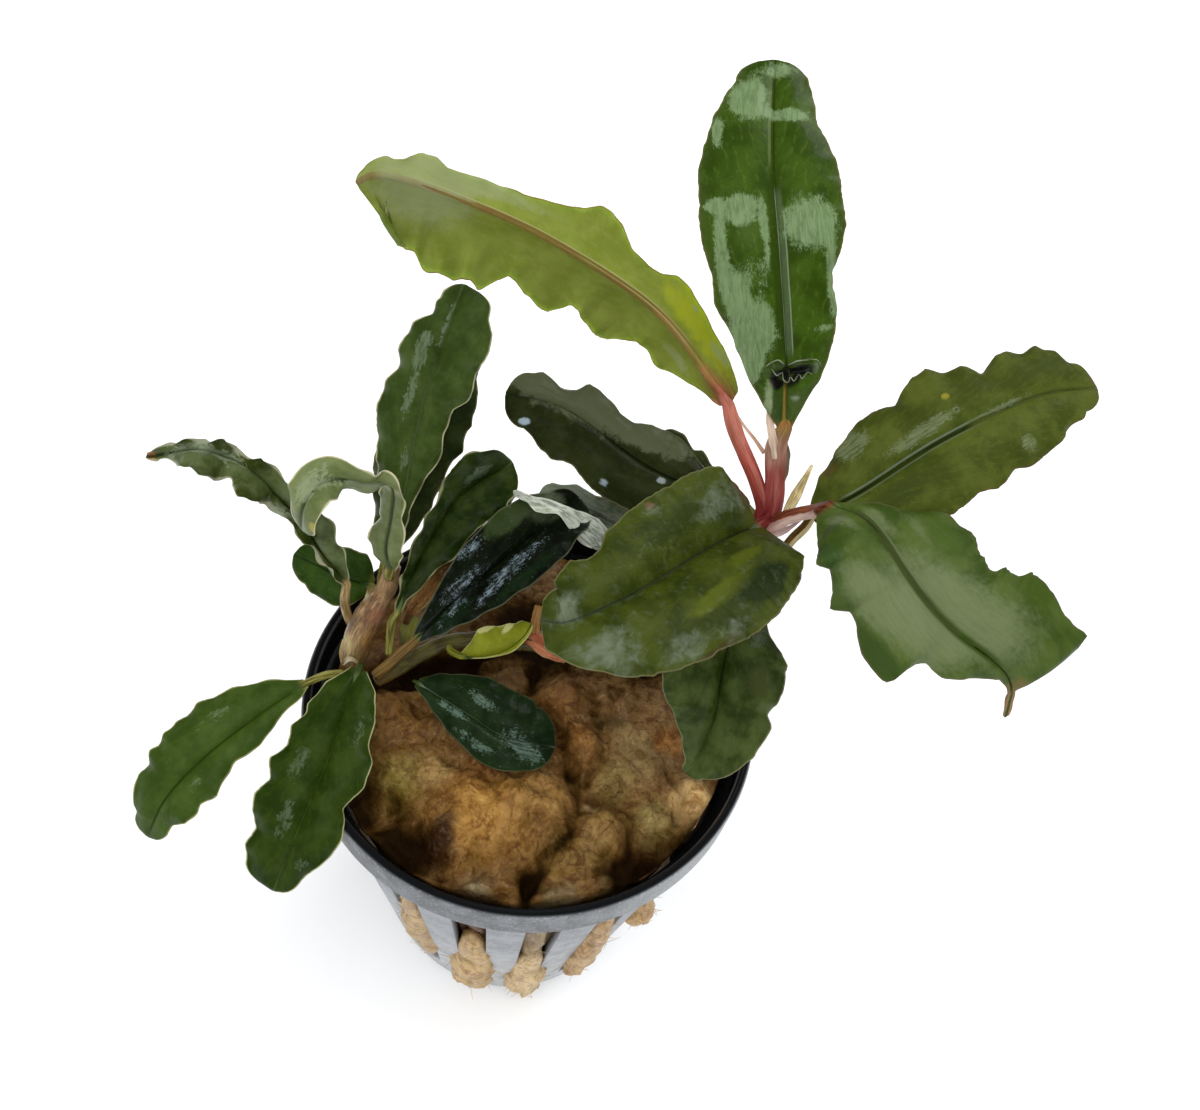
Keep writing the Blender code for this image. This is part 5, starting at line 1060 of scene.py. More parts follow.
def blade_sheet(shape, look, number, spine, side):
    """The middle sheet of a blade and each point's place: along, left of the rib, in from the edge."""
    path, distances, upward = spine
    share = distances / distances[-1]
    halves = blade_halves(shape, look, number, distances)
    points = np.zeros((len(path), len(SIGNED_COLUMNS), 3))
    across = np.zeros(points.shape[:2])
    lift = np.zeros(points.shape[:2])
    edge = np.zeros(points.shape[:2])
    window = smooth(0.0, 0.12, share) * (1 - 0.6 * smooth(0.9, 1.0, share))
    for j, u in enumerate(SIGNED_COLUMNS):
        width, lobe, turn = halves[1 if u > 0 else 0]
        out = width * abs(u)
        sideways = (1 if u > 0 else -1) * out
        rise = np.sqrt(out ** 2 + FOLD_ROUND ** 2) - FOLD_ROUND
        points[:, j] = path + side * (sideways * np.cos(turn))[:, None]
        points[:, j] += upward * (rise * np.sin(turn))[:, None]
        across[:, j] = sideways
        edge[:, j] = width * (1 - abs(u))
        groove = -GROOVE_DEPTH * np.exp(-(out / GROOVE_HALF_WIDTH) ** 2) * (1 - 0.7 * share)
        lift[:, j] = window * ripples(look, number, distances, u, width, lobe) + groove
    soft_place = stacked(distances[:, None] * 0.16, across * 0.16, number * 3.3)
    lift += look["wobble"] * layered(soft_place, seed=number, octaves=3) * window[:, None]
    place = stacked(distances[:, None], across, edge)
    lift += patches(look["dents"], place)
    return points + sheet_normal(points) * lift[..., None], place


def sheet_normal(points):
    """Directions square to a grid of points."""
    return unit(np.cross(np.gradient(points, axis=0), np.gradient(points, axis=1)))


def blade_faces(rows, columns):
    """Faces of the upper skin, of the lower skin, which shares its edges, and of the two ends."""
    faces = grid_faces(rows, columns)
    inner = columns - 2
    first = rows * columns

    def lower(i, j):
        if j in (0, columns - 1):
            return i * columns + j
        return first + i * inner + j - 1

    for i in range(rows - 1):
        for j in range(columns - 1):
            faces.append((lower(i, j), lower(i, j + 1), lower(i + 1, j + 1), lower(i + 1, j)))
    for row, turned in ((0, False), (rows - 1, True)):
        ring = [row * columns + j for j in range(columns)]
        ring += [lower(row, j) for j in range(columns - 2, 0, -1)]
        faces.append(tuple(reversed(ring)) if turned else tuple(ring))
    return faces


def blade(shape, look, number):
    """Points, faces and stored values of one blade with an upper and a lower skin."""
    path, headings, distances = curve_through(shape["rib"], LEAF_STEP)
    side, upward = blade_frame(shape["face"], headings, distances)
    spine = (path, distances, upward)
    points, place = blade_sheet(shape, look, number, spine, side)
    across, edge = place[..., 1], place[..., 2]
    body = LEAF_THICKNESS * (1 - np.abs(SIGNED_COLUMNS) ** 6)[None, :] * np.ones_like(across)
    body *= 0.45 + 0.55 * smooth(0.0, 1.6, edge)
    normal = sheet_normal(points)
    top = points + normal * (body * 0.4)[..., None]
    low = points - normal * (body * 0.6)[..., None]
    rows, columns = across.shape
    above, below = rows * columns, rows * (columns - 2)

    def both(values):
        lower_part = values[:, 1:-1].reshape(below, *values.shape[2:])
        return np.concatenate([values.reshape(above, *values.shape[2:]), lower_part])

    stalk_fade = np.clip(1 - distances / look["stalk_fade"], 0, 1)[:, None]
    values = {
        "leaf_place": both(place),
        "leaf_stalk": both(stalk_fade * np.exp(-(across / 1.3) ** 2)),
        "leaf_film": both(patches(look["films"], place)),
        "leaf_tint": both(tints(look["tints"], place)),
        "leaf_upper": np.concatenate([np.ones(above), np.zeros(below)])}
    vertices = np.concatenate([top.reshape(-1, 3), low[:, 1:-1].reshape(-1, 3)])
    return vertices, blade_faces(rows, columns), values, spine


def patches(places, place):
    """Strength of soft-edged patches: each is (along, across, reach along, reach across, strength)."""
    total = np.zeros(place.shape[:2])
    for along, across, reach_along, reach_across, strength in places:
        far = ((place[..., 0] - along) / reach_along) ** 2 + ((place[..., 1] - across) / reach_across) ** 2
        total += strength * np.exp(-far ** 1.5)
    return total


def tints(places, place):
    """Colour of tinted patches, with how much they cover: each is a patch and its colour."""
    colour = np.zeros((*place.shape[:2], 3))
    cover = np.zeros(place.shape[:2])
    for *patch, rgb in places:
        strength = patches([patch], place)
        colour += strength[..., None] * np.array(rgb)
        cover += strength
    colour = colour / np.maximum(cover, 1e-6)[..., None]
    return np.concatenate([colour, cover[..., None]], -1)


def stalk(shape, look, spine):
    """The stalk, which runs on under the blade as its midrib."""
    path, distances, upward = spine
    start, radii = shape["stalk"], shape["stalk_radii"]
    lead, _, lead_along = curve_through(list(start) + [shape["rib"][0]], STALK_STEP)
    reach = int(len(path) * RIB_REACH)
    line = np.vstack([lead[:-1], path[:reach]])
    along = np.concatenate([lead_along[:-1] - lead_along[-1], distances[:reach]])
    rib_radius = shape.get("rib_radius", radii[-1])
    stations = [*np.linspace(along[0], 0.0, len(radii)), 1.2, distances[-1] * 0.25, distances[reach - 1]]
    radius = np.interp(along, stations, [*radii, rib_radius, rib_radius * 0.62, 0.12])
    line_headings = unit(np.gradient(line, axis=0))
    up = np.vstack([np.repeat(upward[:1], len(lead) - 1, axis=0), upward[:reach]])
    sunk = smooth(-0.5, 2.5, along) * (radius * 0.62 + 0.12)
    line = line - up * sunk[:, None]
    radius = radius * (1 + 0.05 * grain(stacked(along * 0.8, 3.0, 0.0), 5))
    points, faces = tube(line, line_headings, radius, up, STALK_SIDES, flat=look["stalk_flat"])
    turns = round_turns(STALK_SIDES)
    channel = look["channel"] * np.exp(-((turns - math.pi / 2) / 0.5) ** 2)
    points = points - (up[:, None] * (radius[:, None] * channel)[..., None]).reshape(-1, 3)
    across = radius[:, None] * np.cos(turns)[None, :]
    place = stacked(along[:, None], across, FAR_FROM_EDGE).reshape(-1, 3)
    cover = (1 - smooth(0.0, look["stalk_fade"], along))[:, None] + across * 0
    tint = tints(look["stalk_tints"], place[None])[0]
    return points, faces, stalk_values(place, cover.ravel(), tint)


def stalk_values(place, cover, tint):
    """Values stored on the points of a stalk or a dry strip."""
    none = np.zeros(len(place))
    return {
        "leaf_place": place, "leaf_stalk": cover, "leaf_film": none, "leaf_tint": tint, "leaf_upper": none}


def sheath(knots, widths, rgb, number):
    """A dry strip beside a stalk, in one colour."""
    points, faces, place = strip(knots, widths, TOWARDS_VIEW, number)
    count = len(points)
    place = place + np.array([0.0, 40.0, FAR_FROM_EDGE])
    return points, faces, stalk_values(place, np.ones(count), np.tile((*rgb, 2.0), (count, 1)))


def leaf(node, number):
    """One leaf, blade and stalk in one piece."""
    shape = LEAVES[node]
    look = {**PLAIN_LEAF, **LOOKS[node]}
    *skin, spine = blade(shape, look, number)
    pieces = [skin, stalk(shape, look, spine)]
    pieces += [sheath(*strip_look, number + k) for k, strip_look in enumerate(look["sheaths"])]
    vertices, faces = joined([piece[:2] for piece in pieces])
    values = {key: np.concatenate([piece[2][key] for piece in pieces]) for key in skin[2]}
    finish = leaf_finish(node + "_skin", number, look)
    fit(add_piece("fine_" + node, vertices, faces, finish, values), node)


def stem_finish(name, dark, light, streak, roughness=0.42, coat=0.25, bump_mm=0.08):
    """A stem or dry scale: streaked along, darker in blotches, with a rough fine skin."""
    finish = Finish(name)
    place = finish.attribute("stem_place", output=1)
    fibres = finish.noise(finish.stretched(place, (0.5, 4.0, 4.0)), 1.0, detail=5.0)
    blotches = finish.noise(place, 0.9, detail=4.0)
    colour = finish.mix(finish.ramp(blotches, 0.35, 0.65), dark, light)
    colour = finish.mix(finish.ramp(fibres, 0.5, 0.68, 0.0, 0.8), colour, streak)
    tint = finish.attribute("stem_tint", output=0)
    colour = finish.mix(finish.times(finish.attribute("stem_tint", output=3), 0.85), colour, tint)
    threads = finish.noise(finish.stretched(place, (0.3, 7.0, 7.0)), 1.0, detail=6.0, roughness=0.65)
    colour = finish.mix(1.0, colour, finish.ramp(threads, 0.36, 0.62, 0.62, 1.22), blend="MULTIPLY")
    finish.bump(finish.plus(threads, finish.times(blotches, 0.5)), bump_mm)
    rough = finish.ramp(blotches, 0.3, 0.7, roughness - 0.1, roughness + 0.12)
    finish.set(Base_Color=colour, Roughness=rough)
    finish.shader.inputs["Coat Weight"].default_value = coat
    finish.shader.inputs["Coat Roughness"].default_value = 0.2
    return finish.material


def stem_tube(knots, radii, step, sides, lumps=0.0, rings=0.0, ring_gap=3.0, seed=1):
    """A lumpy stem with joints: its points, faces and the place of each point (along, round)."""
    path, headings, distances = curve_through(knots, step)
    stations = np.linspace(0, distances[-1], len(radii))
    radius = np.interp(distances, stations, radii)
    # Leaf scars ring the stem, each a narrow groove above a low swelling
    phase = (distances / ring_gap) % 1.0
    swelling = np.exp(-((phase - 0.42) / 0.16) ** 2)
    groove = np.exp(-((phase - 0.62) / 0.05) ** 2)
    radius = radius * (1 + rings * (swelling - 0.8 * groove))
    side = unit(np.cross(headings, np.array(STEM_FACE)))
    up = np.cross(side, headings)
    points, faces = tube(path, headings, radius, up, sides)
    turns = np.tile(round_turns(sides), len(path))
    around = np.repeat(radius, sides)
    place = stacked(np.repeat(distances, sides), around * np.cos(turns), around * np.sin(turns))
    centre = np.repeat(path, sides, axis=0)
    swell = 1 + lumps * layered(points * 0.7, seed=seed, octaves=3)
    points = centre + (points - centre) * swell[:, None]
    return points, faces, place


def add_stem(name, node, parts, finish, blobs=()):
    """Stem pieces joined in one object; blobs are coloured places: (place, reach, colour)."""
    points, faces = joined([part[:2] for part in parts])
    colour = np.zeros((len(points), 3))
    cover = np.full(len(points), 1e-6)
    for place, reach, rgb in blobs:
        share = np.exp(-((points - np.array(place)) ** 2).sum(1) / reach ** 2)
        colour += share[:, None] * np.array(rgb)
        cover += share
    tint = np.concatenate([colour / cover[:, None], np.clip(cover * 1.2, 0, 1)[:, None]], 1)
    values = {"stem_place": np.concatenate([part[2] for part in parts]), "stem_tint": tint}
    fit(add_piece(name, points, faces, finish, values), node)


def strip(knots, widths, face, seed, curl=0.3, thickness=0.12, wave=0.15):
    """A thin dry scale or sheath edge: a curled ribbon along a line."""
    path, headings, distances = curve_through(knots, 0.2)
    upward = unit(np.array(face, float))[None]
    upward = unit(upward - (upward * headings).sum(1)[:, None] * headings)
    side = np.cross(upward, headings)
    width = np.interp(distances, np.linspace(0, distances[-1], len(widths)), widths)
    across = np.linspace(-1, 1, 11)
    ragged = 1 + 0.12 * layered(stacked(distances * 1.5, 0.0, 0.0), seed)
    out = (width * ragged)[:, None] * across[None]
    ripple = wave * np.sin(distances * 2.1 + seed)[:, None] * np.abs(across)[None] ** 2
    rise = curl * (out ** 2) / np.maximum(width, 0.2)[:, None] + ripple
    top = path[:, None] + side[:, None] * out[..., None] + upward[:, None] * rise[..., None]
    low = top - upward[:, None] * thickness
    rows, columns = out.shape
    shift = rows * columns
    faces = grid_faces(rows, columns)
    faces += [tuple(reversed([k + shift for k in face])) for face in faces]
    last = columns - 1
    edges = [(i * columns + j, (i + 1) * columns + j, j == last) for i in range(rows - 1) for j in (0, last)]
    edges += [(i * columns + j, i * columns + j + 1, i == 0) for i in (0, rows - 1) for j in range(last)]
    for a, b, turned in edges:
        quad = (a, a + shift, b + shift, b)
        faces.append(quad[::-1] if turned else quad)
    place = stacked(distances[:, None], out, 0.0).reshape(-1, 3)
    return np.concatenate([top.reshape(-1, 3), low.reshape(-1, 3)]), faces, np.concatenate([place, place])


def stems():
    """The creeping stem, the left crown's sheathed stem and the dry pieces on them."""
    olive = stem_finish("rhizome_skin", *RHIZOME_COLOURS)
    parts = [stem_tube(*RHIZOME, 0.25, 20, lumps=0.07, rings=0.07, ring_gap=3.1)]
    parts.append(strip(*NOTCHED_SCALE, TOWARDS_VIEW, 3))
    add_stem("fine_rhizome", "rhizome", parts, olive, RHIZOME_TINTS_AND_HIGHLIGHTS)

    papery = stem_finish("sheath_skin", *SHEATH_COLOURS, roughness=0.55, coat=0.1, bump_mm=0.12)
    parts = [stem_tube(*LEFT_STEM, 0.2, 28, lumps=0.05, rings=0.02, ring_gap=2.6, seed=4)]
    parts += [strip(*scale, TOWARDS_VIEW, k) for k, scale in enumerate(STEM_SCALES)]
    add_stem("fine_left_stem", "left_stem", parts, papery, SHEATH_TINTS)

    straw = stem_finish("straw_skin", *STRAW_COLOURS, roughness=0.6, coat=0.0, bump_mm=0.05)
    knots, radii = DRIED_SPIKE
    parts = [stem_tube(knots, radii, 0.15, 10, lumps=0.1, seed=9)]
    for k, (dx, dy, dz) in enumerate(SPIKE_SPLITS):
        beside = [(x + dx * s, y + dy * s, z + dz * s) for s, (x, y, z) in zip((0, 1, 0.3), knots)]
        parts.append(stem_tube(beside, (0.22, 0.3, 0.06), 0.15, 8, lumps=0.12, seed=10 + k))
    add_stem("fine_dried_spike", "dried_spike", parts, straw)


def pot_finish():
    """Black moulded plastic: glossy rim and inside; outside, a pale grey painted reflection of the room,
    lighter towards the bottom and to the right, with painted glint specks.
    """
    finish = Finish("pot_plastic_skin")
    height, outside, _ = finish.split(finish.attribute("pot_place", output=1))
    position = finish.stretched(finish.step("TexCoord", {}, output=3), (1 / MM, 1 / MM, 1 / MM))
    cloud = finish.noise(position, 0.35, detail=5.0, roughness=0.6)
    grit_and_glints = finish.noise(position, 3.2, detail=3.0, roughness=0.7)
    # Painted reflection on the outer wall: pale grey, lighter towards the bottom, with darker clouds
    wall = finish.mix(finish.ramp(height, 8.0, 38.0), (0.49, 0.5, 0.51), (0.3, 0.31, 0.33))
    wall = finish.mix(finish.ramp(cloud, 0.4, 0.68, 0.0, 0.45), wall, (0.16, 0.17, 0.185))
    # Painted reflection on the collar, darker grey, with a painted highlight to the right
    collar = finish.mix(finish.ramp(cloud, 0.35, 0.65), (0.115, 0.12, 0.128), (0.2, 0.21, 0.22))
    right = finish.split(position)[0]
    collar = finish.mix(finish.ramp(right, 8.0, 22.0, 0.0, 0.75), collar, (0.4, 0.41, 0.42))
    film = finish.mix(finish.ramp(height, 44.3, 45.4, 1.0, 0.0), collar, wall)
    # Pale painted glint specks on the outside, and dark specks where the black plastic shows
    film = finish.mix(finish.ramp(grit_and_glints, 0.56, 0.7, 0.0, 0.5), film, (0.5, 0.52, 0.54))
    film = finish.mix(finish.ramp(grit_and_glints, 0.32, 0.44, 0.6, 0.0), film, (0.05, 0.052, 0.056))
    # The rim's top and the inside stay black plastic, with grey painted glint specks
    black = finish.mix(finish.ramp(grit_and_glints, 0.66, 0.76, 0.0, 0.2), (0.004, 0.0044, 0.005), (0.1, 0.11, 0.12))
    share = finish.times(outside, finish.ramp(height, 49.3, 49.7, 1.0, 0.0))
    rough = finish.times_plus(share, 0.2, 0.32)
    rough = finish.plus(rough, finish.times_plus(cloud, 0.2, -0.1))
    finish.bump(finish.plus(grit_and_glints, cloud), 0.03)
    finish.set(Base_Color=finish.mix(share, black, film), Roughness=rough)
    finish.shader.inputs["Specular IOR Level"].default_value = 0.15
    return finish.material


def wall_radius(height):
    """Outer radius of the tapered wall."""
    return lerp(BASE_RADIUS, WALL_RADIUS_TOP, height / (POT_HEIGHT - COLLAR_HEIGHT))


def applied(piece):
    """Turns a piece's modifiers into its mesh."""
    depsgraph = bpy.context.evaluated_depsgraph_get()
    mesh = bpy.data.meshes.new_from_object(piece.evaluated_get(depsgraph))
    piece.modifiers.clear()
    piece.data = mesh


def pot_profile():
    """Radius and height of the outer sheet, from the middle of the base to the inner edge of the rim."""
    shoulder = POT_HEIGHT - COLLAR_HEIGHT
    base = [(r, 0.0) for r in (0.6, 3.0, BASE_HOLE_INNER, 9.5, BASE_HOLE_OUTER, 15.0)]
    foot = [(BASE_RADIUS - 0.8, 0.0), (BASE_RADIUS - 0.25, 0.2), (BASE_RADIUS, 0.9)]
    slot_rows = np.linspace(SLOT_BOTTOM, SLOT_TOP, 12)
    wall = [(wall_radius(z), z) for z in (3.0, *slot_rows, 42.5, shoulder - 0.25)]
    rim = [(wall_radius(shoulder) + 0.35, shoulder), (RIM_RADIUS - 0.35, shoulder),
           (RIM_RADIUS - 0.15, shoulder + 0.2), (RIM_RADIUS - 0.1, 47.0), (RIM_RADIUS, 48.9),
           (RIM_RADIUS - 0.08, 49.45), (RIM_RADIUS - 0.35, 49.85), (RIM_RADIUS - 0.75, POT_HEIGHT)]
    return base + foot + wall + rim


def in_base_hole(turn):
    """Whether a face that starts at this turn lies in one of the base holes."""
    pitch = 360 / BASE_HOLES
    middle = math.degrees(turn) + 1.2
    return abs((middle + pitch / 2) % pitch - pitch / 2) < BASE_HOLE_DEG / 2


def pot():
    """The net pot: one outer sheet with its slots and base holes left open, then thickened and rounded."""
    half = SLOT_WIDTH_DEG / 2
    pitch = 360 / SLOT_COUNT
    bars = list(np.linspace(-half, half, SLOT_FACES + 1)) + list(np.linspace(half, pitch - half, 6))[1:-1]
    turns = np.radians([SLOT_FIRST_DEG + slot * pitch + bar for slot in range(SLOT_COUNT) for bar in bars])
    profile = pot_profile()
    points = [(r * math.sin(turn), -r * math.cos(turn), z) for r, z in profile for turn in turns]
    faces = []
    columns = len(turns)
    for i in range(len(profile) - 1):
        low, high = profile[i], profile[i + 1]
        in_slot = SLOT_BOTTOM - 0.1 < low[1] and high[1] < SLOT_TOP + 0.1
        in_hole = high[1] == 0 and BASE_HOLE_INNER - 0.1 < low[0] and high[0] < BASE_HOLE_OUTER + 0.1
        for j in range(columns):
            if in_slot and j % len(bars) < SLOT_FACES or in_hole and in_base_hole(turns[j]):
                continue
            a, b = i * columns + j, i * columns + (j + 1) % columns
            faces.append((a, b, b + columns, a + columns))
    faces.append(tuple(range(columns - 1, -1, -1)))
    piece = add_piece("fine_net_pot", points, faces, pot_finish())
    thick = piece.modifiers.new("wall", "SOLIDIFY")
    thick.thickness = WALL * MM
    thick.offset = -1.0
    thick.use_even_offset = True
    edges = piece.modifiers.new("edges", "BEVEL")
    edges.width = EDGE_ROUNDING * MM
    edges.segments = 2
    edges.limit_method = "ANGLE"
    edges.angle_limit = math.radians(50)
    applied(piece)
    mesh = piece.data
    mesh.shade_smooth()
    pot_places(mesh, profile)
    fit(piece, "net_pot")


def pot_places(mesh, profile):
    """Stores on the pot's points their height and how far they belong to the outside."""
    places = np.empty(len(mesh.vertices) * 3)
    mesh.vertices.foreach_get("co", places)
    x, y, height = places.reshape(-1, 3).T / MM
    outer, levels = np.array(profile[6:]).T
    outside = smooth(0.75, 0.3, np.interp(height, levels, outer) - np.hypot(x, y))
    values = stacked(height, outside, 0.0).astype(np.float32).ravel()
    mesh.attributes.new("pot_place", "FLOAT_VECTOR", "POINT").data.foreach_set("vector", values)


def wool_finish():
    """Wet mineral wool: ochre fibres in smeared clumps with darker brown mottle, near black where shade is
    painted into creases, hollows and shadows.
    """
    finish = Finish("wool_skin")
    position = finish.attribute("wool_place", output=1)
    swirl = finish.noise(position, 0.32, detail=3.0, distortion=1.2)
    mottle = finish.noise(position, 0.6, detail=7.0, roughness=0.7, distortion=1.2)
    specks = finish.noise(position, 1.7, detail=6.0, roughness=0.72, distortion=1.1)
    one_way = finish.stretched(position, (1.1, 4.5, 3.0))
    fibres = finish.noise(one_way, 1.0, detail=6.0, roughness=0.68, distortion=1.6)
    other_way = finish.stretched(position, (4.2, 1.0, 3.0))
    crossed = finish.noise(other_way, 1.0, detail=6.0, roughness=0.68, distortion=1.4)
    hair = finish.math("MAXIMUM", fibres, crossed)
    depth = finish.attribute("wool_painted_shade")
    light = finish.attribute("wool_tint", output=0)
    deep = finish.mix(1.0, light, (0.46, 0.32, 0.14), blend="MULTIPLY")
    pale = finish.mix(0.3, finish.mix(1.0, light, (1.4, 1.36, 1.3), blend="MULTIPLY"), (0.52, 0.38, 0.24))
    colour = finish.mix(finish.ramp(mottle, 0.33, 0.56), deep, light)
    colour = finish.mix(finish.ramp(mottle, 0.54, 0.7, 0.0, 0.6), colour, pale)
    colour = finish.mix(finish.ramp(swirl, 0.34, 0.5, 0.45, 0.0), colour, deep)
    colour = finish.mix(finish.ramp(specks, 0.55, 0.7, 0.0, 0.6), colour, pale)
    colour = finish.mix(finish.ramp(specks, 0.36, 0.46, 0.6, 0.0), colour, deep)
    colour = finish.mix(finish.ramp(hair, 0.6, 0.76, 0.0, 0.45), colour, pale)
    # Painted shade, near black, in creases and hollows and where the stem and leaves shade the wool
    colour = finish.mix(finish.ramp(depth, 0.0, 1.0, 0.0, 0.97), colour, (0.01, 0.0045, 0.0015))
    finish.bump(finish.plus(finish.times(hair, 0.7), finish.times_plus(mottle, 1.2, specks)), 0.14, 0.8)
    finish.set(Base_Color=colour, Roughness=finish.ramp(swirl, 0.35, 0.65, 0.4, 0.7))
    finish.set(Specular_IOR_Level=finish.ramp(depth, 0.1, 0.7, 0.5, 0.03))
    finish.set(Coat_Weight=finish.ramp(depth, 0.1, 0.6, 0.2, 0.0), Coat_Roughness=0.3)
    return finish.material


def to_line(x, y, knots):
    """Distance of places from a line of knots, seen from above."""
    nearest = np.full(np.shape(x), 1e3)
    for (ax, ay), (bx, by) in zip(knots, knots[1:]):
        wide, deep = bx - ax, by - ay
        t = np.clip(((x - ax) * wide + (y - ay) * deep) / (wide ** 2 + deep ** 2), 0, 1)
        nearest = np.minimum(nearest, np.hypot(x - ax - t * wide, y - ay - t * deep))
    return nearest


def wool_surface(x, y):
    """Height of the wool's top and its painted shade: a dome with lumps, creases and clumped fibres."""
    flat = stacked(x, y, 0.0)
    bend = 0.7 * layered(flat * 0.45, 51, 2)
    x, y = x + bend, y + 0.7 * layered(flat * 0.45, 52, 2)
    out = np.minimum(1.0, np.hypot(x, y) / (WALL_RADIUS_TOP - WALL))
    height = lerp(WOOL_MIDDLE, WOOL_EDGE, out ** 3)
    for (cx, cy), along, across, turn_deg, rise in WOOL_LUMPS:
        turn = math.radians(turn_deg)
        u = ((x - cx) * math.cos(turn) + (y - cy) * math.sin(turn)) / along
        v = ((y - cy) * math.cos(turn) - (x - cx) * math.sin(turn)) / across
        height = height + rise * np.exp(-(u ** 2 + v ** 2) ** 1.7)
    dark = 0
    for knots, half_width, depth, darkness in WOOL_CREASES:
        near = np.exp(-(to_line(x, y, knots) / half_width) ** 2)
        height = height - depth * near
        dark = dark + darkness * near
    # Painted shadows under the stem and leaves and in gaps along the rim
    for (cx, cy), reach, strength in WOOL_PAINTED_SHADOWS:
        dark = dark + strength * np.exp(-((x - cx) ** 2 + (y - cy) ** 2) / reach ** 2)
    clumps = layered(flat * 0.4, 21, 3, 0.6)
    folds = 1 - 2 * np.abs(grain(flat * 0.34 + bend[..., None] * 0.2, 5))
    pebbles = layered(flat * 1.35, 33, 2, 0.6)
    rough = 0.3 * clumps + 0.28 * folds + 0.1 * pebbles
    # Painted shade where the clumps and folds dip low
    dark = dark + 0.35 * smooth(0.1, -0.8, 0.6 * clumps + 0.3 * folds + 0.35 * pebbles)
    return height + rough - 0.3, np.clip(dark, 0, 1)


def wool_colours(points):
    """Colour of the wool from place to place, seen from above."""
    colour = np.zeros((len(points), 3)) + np.array(WOOL_COLOUR)
    bend = layered(points * 0.5, 61, 2)
    for (x, y), reach, rgb in WOOL_TINTS:
        far = ((points[:, 0] - x + 0.8 * bend) ** 2 + (points[:, 1] - y + 0.6 * bend) ** 2) / reach ** 2
        colour = lerp(colour, np.array(rgb), np.exp(-far ** 1.6)[:, None])
    return colour


def facing(turn_deg):
    """Outward and sideways directions at a turn round the pot; 0 is the front."""
    turn = math.radians(turn_deg)
    return np.array([math.sin(turn), -math.cos(turn), 0.0]), np.array([math.cos(turn), math.sin(turn), 0.0])


def wool_edge():
    """Radius at which the wool's top meets the pot."""
    return wall_radius(WOOL_TOP_LEVEL) - WALL - WOOL_GAP


def wool_side(turns):
    """Sides of the plug, which swell into the slots: points, colours and painted shade."""
    levels = np.linspace(WOOL_TOP_LEVEL, SLOT_BOTTOM - 0.6, WOOL_SIDE_ROWS)
    levels = np.concatenate([levels, [4.0, BASE_PLATE + WOOL_GAP]])
    pitch = math.radians(360 / SLOT_COUNT)
    off = (turns - math.radians(SLOT_FIRST_DEG) + pitch / 2) % pitch - pitch / 2
    in_slot = 1 - smooth(math.radians(2.6), math.radians(4.3), np.abs(off))
    open_rows = smooth(SLOT_BOTTOM + 0.2, SLOT_BOTTOM + 2.0, levels)
    open_rows = open_rows * (1 - smooth(SLOT_TOP - 2.5, SLOT_TOP - 0.4, levels))
    wall = wall_radius(levels)[:, None] + 0 * turns[None]
    around = stacked(np.sin(turns) * wall * 0.3, -np.cos(turns) * wall * 0.3, levels[:, None] * 0.22)
    puff = 0.25 + 0.9 * layered(around, 8, 4, 0.6)
    swell = in_slot[None] * open_rows[:, None] * np.clip(puff + 0.3, -0.8, 1.9)
    radius = wall - WALL - WOOL_GAP - 0.25 + swell
    points = stacked(radius * np.sin(turns), -radius * np.cos(turns), levels[:, None])
    colour = np.zeros(points.shape) + np.array(WOOL_SIDE_COLOUR)
    for turn_deg, rgb in WOOL_SLOTS:
        away = np.abs((turns - math.radians(turn_deg) + math.pi) % (2 * math.pi) - math.pi)
        colour[:, away < pitch / 2] = rgb
    # Painted shade on the sides inside the pot, darker higher up
    darkness = lerp(0.25, 0.6, smooth(30.0, 40.0, levels))[:, None] + 0 * radius
    return points.reshape(-1, 3), colour.reshape(-1, 3), darkness.ravel()


def wool_plug():
    """The plug's domed top and its sides in one mesh: points, faces, colours and painted shade."""
    turns = round_turns(WOOL_COLUMNS)
    radii = wool_edge() * np.linspace(0.004, 1.0, WOOL_TOP_ROWS) ** 0.92
    x, y = radii[:, None] * np.sin(turns), -radii[:, None] * np.cos(turns)
    height, shade = wool_surface(x, y)
    top = stacked(x, y, height).reshape(-1, 3)
    side, side_colour, side_darkness = wool_side(turns)
    points = np.concatenate([top, side])
    colour = np.concatenate([wool_colours(top), side_colour])
    darkness = np.concatenate([shade.ravel(), side_darkness])
    return points, tube_faces(len(points) // WOOL_COLUMNS, WOOL_COLUMNS), colour, darkness


def wool():
    """The plug, tufts outside its slots and loose fibres on both."""
    parts = [wool_plug()]
    for k, (turn_deg, high, low, reach, width, rgb) in enumerate(WOOL_TUFTS):
        points, faces, darkness = tuft(turn_deg, high, low, reach, width, k)
        parts.append((points, faces, np.tile(rgb, (len(points), 1)), darkness))
        points, faces = fuzz(points, FIBRES_PER_TUFT, facing(turn_deg)[0], k)
        bright = np.tile(FUZZ_BRIGHTNESS * np.array(rgb), (len(points), 1))
        parts.append((points, faces, bright, np.zeros(len(points))))
    points, faces, shade, darkness = fibres_on(parts[0][0][:WOOL_TOP_ROWS * WOOL_COLUMNS])
    parts.append((points, faces, wool_colours(points) * (0.8 + 0.7 * shade)[:, None], darkness))
    points, faces = joined([part[:2] for part in parts])
    tint = np.concatenate([part[2] for part in parts])
    values = {"wool_place": points, "wool_painted_shade": np.concatenate([part[3] for part in parts]),
              "wool_tint": np.concatenate([tint, np.ones((len(tint), 1))], -1)}
    piece = add_piece("fine_mineral_wool", points, faces, wool_finish(), values)
    fit(piece, "mineral_wool")


